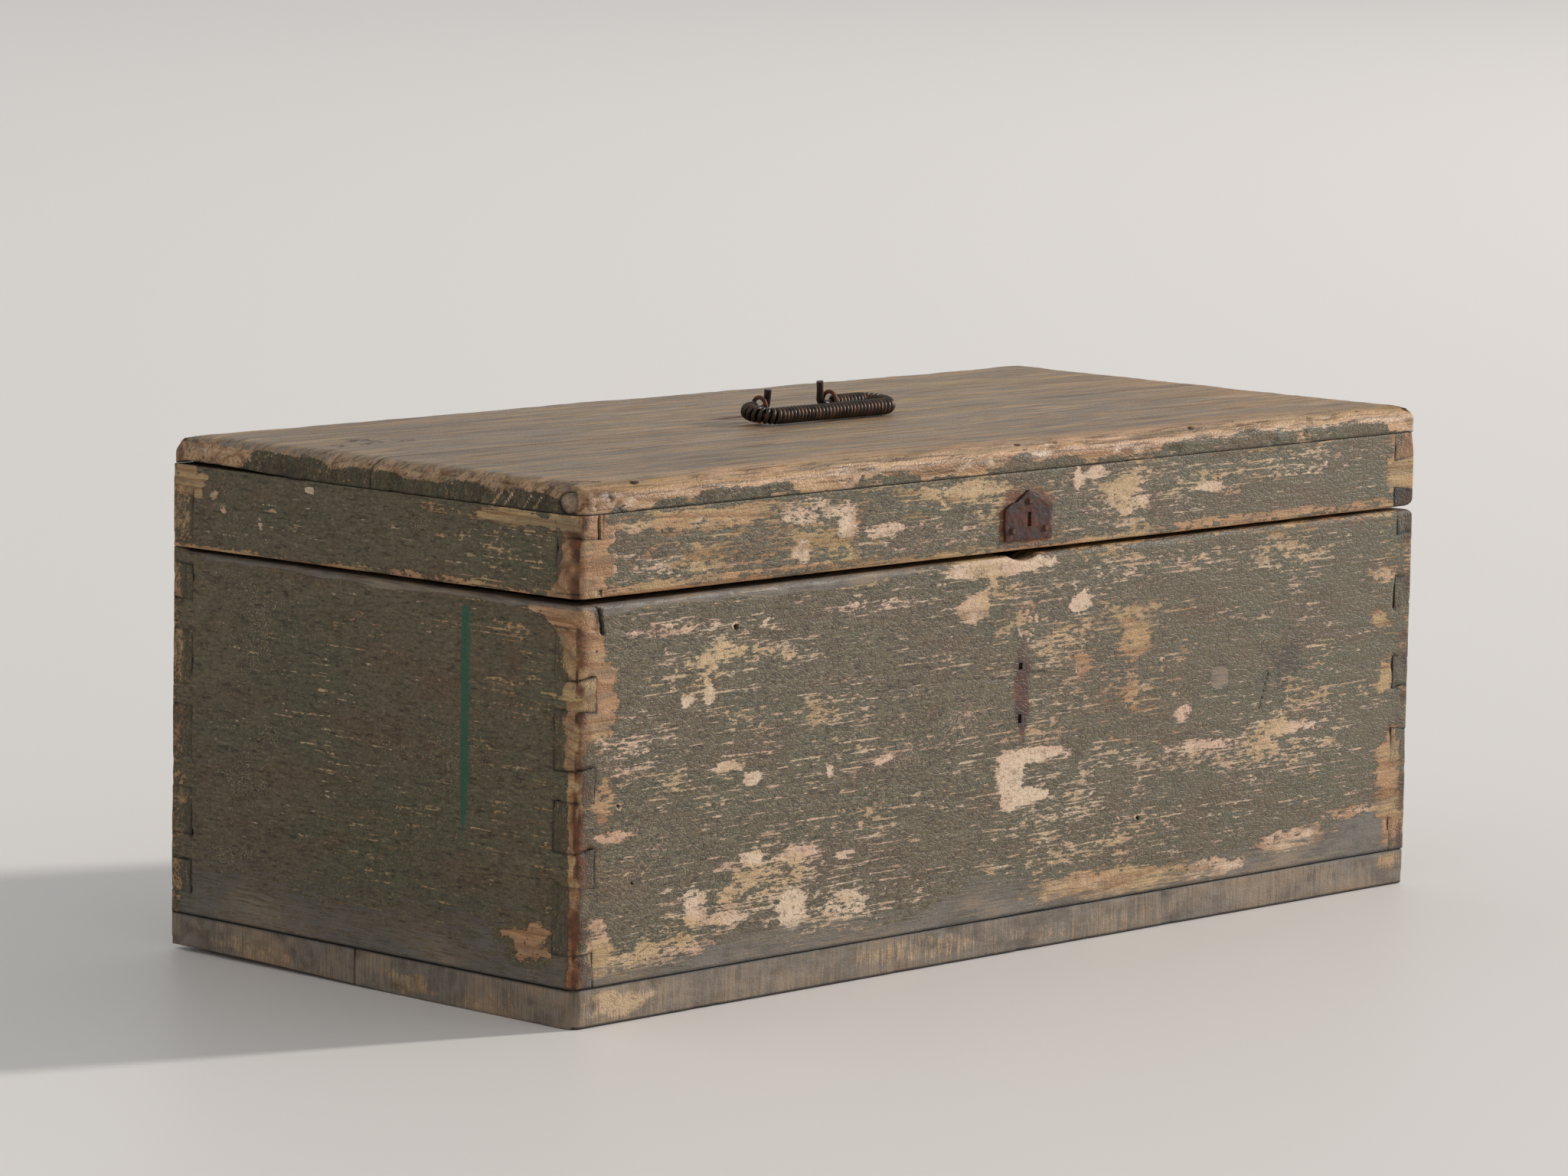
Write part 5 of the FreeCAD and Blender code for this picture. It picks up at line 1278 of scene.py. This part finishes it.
# Sheet iron cut to a house shape: a grid whose rows above the shoulder sink towards the sides. Rust has eaten
# its edge unevenly and pitted its face.
def makePlate():
    left, bottom = plate["left"], plate["bottom"]
    middle, right = left + plate["width"] / 2, left + plate["width"]
    shoulder, apex = bottom + plate["shoulder"], bottom + plate["height"]
    slotZ = bottom + plate["height"] * plate["slotMiddle"]
    halfWidth, halfHeight = plate["slotWidth"] / 2, plate["slotHeight"] / 2
    linesX = gridLines([left, middle - halfWidth, middle + halfWidth, right], 0.4, 0.9, 6)
    linesZ = gridLines([bottom, slotZ - halfHeight, slotZ + halfHeight, shoulder, apex], 0.4, 0.9, 5)
    linesY = gridLines([yFront - plate["thickness"], yFront], 0.3, 0.5, 1)
    midX, midZ = (linesX[1:] + linesX[:-1]) / 2, (linesZ[1:] + linesZ[:-1]) / 2
    keep = ~((np.abs(midX - middle) < halfWidth)[:, None] & (np.abs(midZ - slotZ) < halfHeight)[None, :])
    used, faces = np.unique(slabFaces(keep, len(linesY) - 1)[:, ::-1], return_inverse=True)
    p = np.stack(np.meshgrid(linesX, linesZ, linesY, indexing="ij"), -1).reshape(-1, 3)[used][:, [0, 2, 1]]
    p0 = p.copy()
    fromMiddle = np.abs(p[:, 0] - middle) / (plate["width"] / 2)
    above = np.maximum(p[:, 2] - shoulder, 0)
    p[:, 2] = np.minimum(p[:, 2], shoulder) + above * (1 - plate["sinkAtSide"] * fromMiddle)
    fromEdge = np.minimum(plate["width"] / 2 * (1 - fromMiddle),
                          np.minimum(p0[:, 2] - bottom, apex - p0[:, 2]))
    front = (yFront - p0[:, 1]) / plate["thickness"]
    shallow = plate["pitted"] * (1 + softNoise(p0, 3.2, 97))
    small = plate["pitted"] * np.clip(softNoise(p0, 1.4, 98), 0, 1)
    p[:, 1] += front * (0.5 * np.exp(-fromEdge / 0.8) + shallow + small)
    inPlane = p0 * [1, 0, 1]
    bite = np.column_stack([softNoise(inPlane, 5, 101), 0 * fromEdge, softNoise(inPlane, 5, 102)])
    bite = np.exp(-fromEdge / 2.5)[:, None] * plate["eaten"] * bite
    piece = newPiece("claspPlate", p + bite, [faces.reshape(-1, 4)], 50)
    finishPiece(piece, plateIron, "lid", ["clasp_plate"])


makePlate()

# the nails of the lid boards: how many along each side, from the ends and from the sides, and their worn
# heads
lidNail = dict(count=5, fromEnd=52.0, fromSide=9.0, endFromFront=87.0, endFromEnd=10.0, head=2.7,
               thickness=1.1, shank=1.4, point=0.6, length=40.0, below=0.5)


# cut nails: square rings with rough corners from the domed head down the tapered shank, where the worn edge
# has sunk
def makeLidNails():
    fromEnd, form = lidNail["endFromEnd"], forms["lidTop"]
    along = np.linspace(xLeft + lidNail["fromEnd"], xRight - lidNail["fromEnd"], lidNail["count"])
    places = [(x, y) for y in (yFront + lidNail["fromSide"], yBack - lidNail["fromSide"]) for x in along]
    places += [(x, yFront + lidNail["endFromFront"]) for x in (xLeft + fromEnd, xRight - fromEnd)]
    places = np.array(places)
    inward = np.where(np.abs(places[:, 0]) > xRight - 2 * fromEnd, fromEnd, lidNail["fromSide"])
    sunk = form["top"] * (1 - np.sqrt(1 - (1 - inward / form["topReach"]) ** 2)) + lidNail["below"]
    half = np.array([0.35, 0.8, 1.0, 1.0]) * lidNail["head"]
    half = np.concatenate([half, [lidNail["shank"], lidNail["point"]]])
    depth = np.array([0, 0.08, 0.35, lidNail["thickness"], lidNail["thickness"], lidNail["length"]])
    angle = np.linspace(0, 2 * math.pi, 12, endpoint=False) + 0.2
    square = 1 / np.maximum(np.abs(np.cos(angle)), np.abs(np.sin(angle)))
    ring = np.column_stack([np.cos(angle), np.sin(angle)]) * (0.35 + 0.65 * square)[:, None]
    sides, last = len(angle), (len(half) - 1) * len(angle)
    i, j = np.meshgrid(np.arange(len(half) - 1), np.arange(sides), indexing="ij")
    after = (j + 1) % sides
    quads = np.stack([i * sides + j, (i + 1) * sides + j, (i + 1) * sides + after, i * sides + after], -1)
    fan, after = np.arange(sides), (np.arange(sides) + 1) % sides
    topFan = np.stack([fan, after, np.full(sides, last + sides)], -1)
    endFan = np.stack([last + after, last + fan, np.full(sides, last + sides + 1)], -1)
    points, faces = [], []
    for n, (x, y) in enumerate(places):
        plan = ring[None] * half[:, None, None]
        nail = np.column_stack([plan.reshape(-1, 2) + [x, y], np.repeat(zTop - sunk[n] - depth, sides)])
        nail[:, :2] += 0.25 * np.column_stack([softNoise(nail, 1.5, 103), softNoise(nail, 1.5, 104)])
        points.append(np.concatenate([nail, [[x, y, nail[0, 2] + 0.05], [x, y, nail[-1, 2]]]]))
        faces += [part + n * (last + sides + 2) for part in (quads.reshape(-1, 4), topFan, endFan)]
    piece = newPiece("lidNails", np.concatenate(points), faces, 60)
    finishPiece(piece, nailIron, "lid", ["lid_nails"])


makeLidNails()

# nodes that keep the shape of the frame and only get a material
keptNodes = {
    barePineX: ["front_runner", "back_runner", "till_front", "till_back", "till_bottom"],
    barePineY: ["till_left_end", "till_right_end", "till_divider"],
    nailIron: ["base_nails", "runner_nails", "till_nails", "clasp_plate_nails", "lower_hinge_nails",
               "upper_hinge_nails"],
    hingeIron: ["left_hinge_lower_leaf", "right_hinge_lower_leaf", "left_hinge_upper_leaf",
                "right_hinge_upper_leaf", "hinge_pins"],
}
for material, names in keptNodes.items():
    for name in names:
        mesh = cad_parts[name].data
        mesh.materials.clear()
        mesh.materials.append(material)
print("iron made")

# a painted floor, plain and pale, that runs to the horizon
floor = dict(colour="#f0eae4", reach=60000.0, roughness=0.45)


# one large flat face at the chest's foot
def makeFloor():
    reach = floor["reach"] * toMetres
    mesh = bpy.data.meshes.new("floor")
    corners = [(-reach, -reach, 0), (reach, -reach, 0), (reach, reach, 0), (-reach, reach, 0)]
    mesh.from_pydata(corners, [], [(0, 1, 2, 3)])
    plane = bpy.data.objects.new("floor", mesh)
    bpy.context.scene.collection.objects.link(plane)
    material, tree, shader = newMaterial("floorPaint")
    shader.inputs["Base Color"].default_value = linear(floor["colour"])
    shader.inputs["Roughness"].default_value = floor["roughness"]
    mesh.materials.append(material)


makeFloor()

# the camera: degrees to the right of +Y, up and rolled, the focal length as a share of the frame's width, its
# place in millimetres and the sensor's width
view = dict(yaw=46.49, pitch=-7.33, roll=1.02, focal=8770 / 2048, place=(-3034.57, -2856.93, 742.63),
            sensor=36.0)


# an object that looks along -forward of three directions, at a place in metres
def standAt(thing, right, up, back, place):
    matrix = np.eye(4)
    matrix[:3, 0], matrix[:3, 1], matrix[:3, 2], matrix[:3, 3] = right, up, back, place
    thing.matrix_world = Matrix(matrix.tolist())
    bpy.context.scene.collection.objects.link(thing)


yaw, pitch, roll = (math.radians(view[key]) for key in ("yaw", "pitch", "roll"))
forward = np.array([math.sin(yaw) * math.cos(pitch), math.cos(yaw) * math.cos(pitch), math.sin(pitch)])
level = np.array([math.cos(yaw), -math.sin(yaw), 0])
over = np.cross(level, forward)
camera = bpy.data.objects.new("camera", bpy.data.cameras.new("camera"))
camera.data.sensor_width = view["sensor"]
camera.data.lens = view["focal"] * view["sensor"]
standAt(camera, math.cos(roll) * level + math.sin(roll) * over,
        -math.sin(roll) * level + math.cos(roll) * over,
        -forward, np.array(view["place"]) * toMetres)
bpy.context.scene.camera = camera

# one large soft lamp from the right, in metres, and an even sky
keyLight = dict(toward=(0.898, -0.352, 0.35), distance=20.0, size=1.7, power=3520.0, colour="#fffcf9")
skyLight = dict(colour="#f4f6f8", strength=0.55)

lamp = bpy.data.lights.new("key", "AREA")
lamp.shape, lamp.size = "DISK", keyLight["size"]
lamp.energy, lamp.color = keyLight["power"], linear(keyLight["colour"])[:3]
toward = np.array(keyLight["toward"]) / np.linalg.norm(keyLight["toward"])
side = np.cross([0, 0, 1], toward)
side /= np.linalg.norm(side)
standAt(bpy.data.objects.new("key", lamp), side, np.cross(toward, side), toward,
        toward * keyLight["distance"])

world = bpy.data.worlds.new("softRoom")
world.use_nodes = True
world.node_tree.nodes.clear()
sky = addNode(world.node_tree, "ShaderNodeBackground",
              {"Color": skyLight["colour"], "Strength": skyLight["strength"]})
addNode(world.node_tree, "ShaderNodeOutputWorld", {"Surface": sky.outputs[0]})
bpy.context.scene.world = world
bpy.context.scene.view_settings.view_transform = "Standard"
print("room, camera and light made")
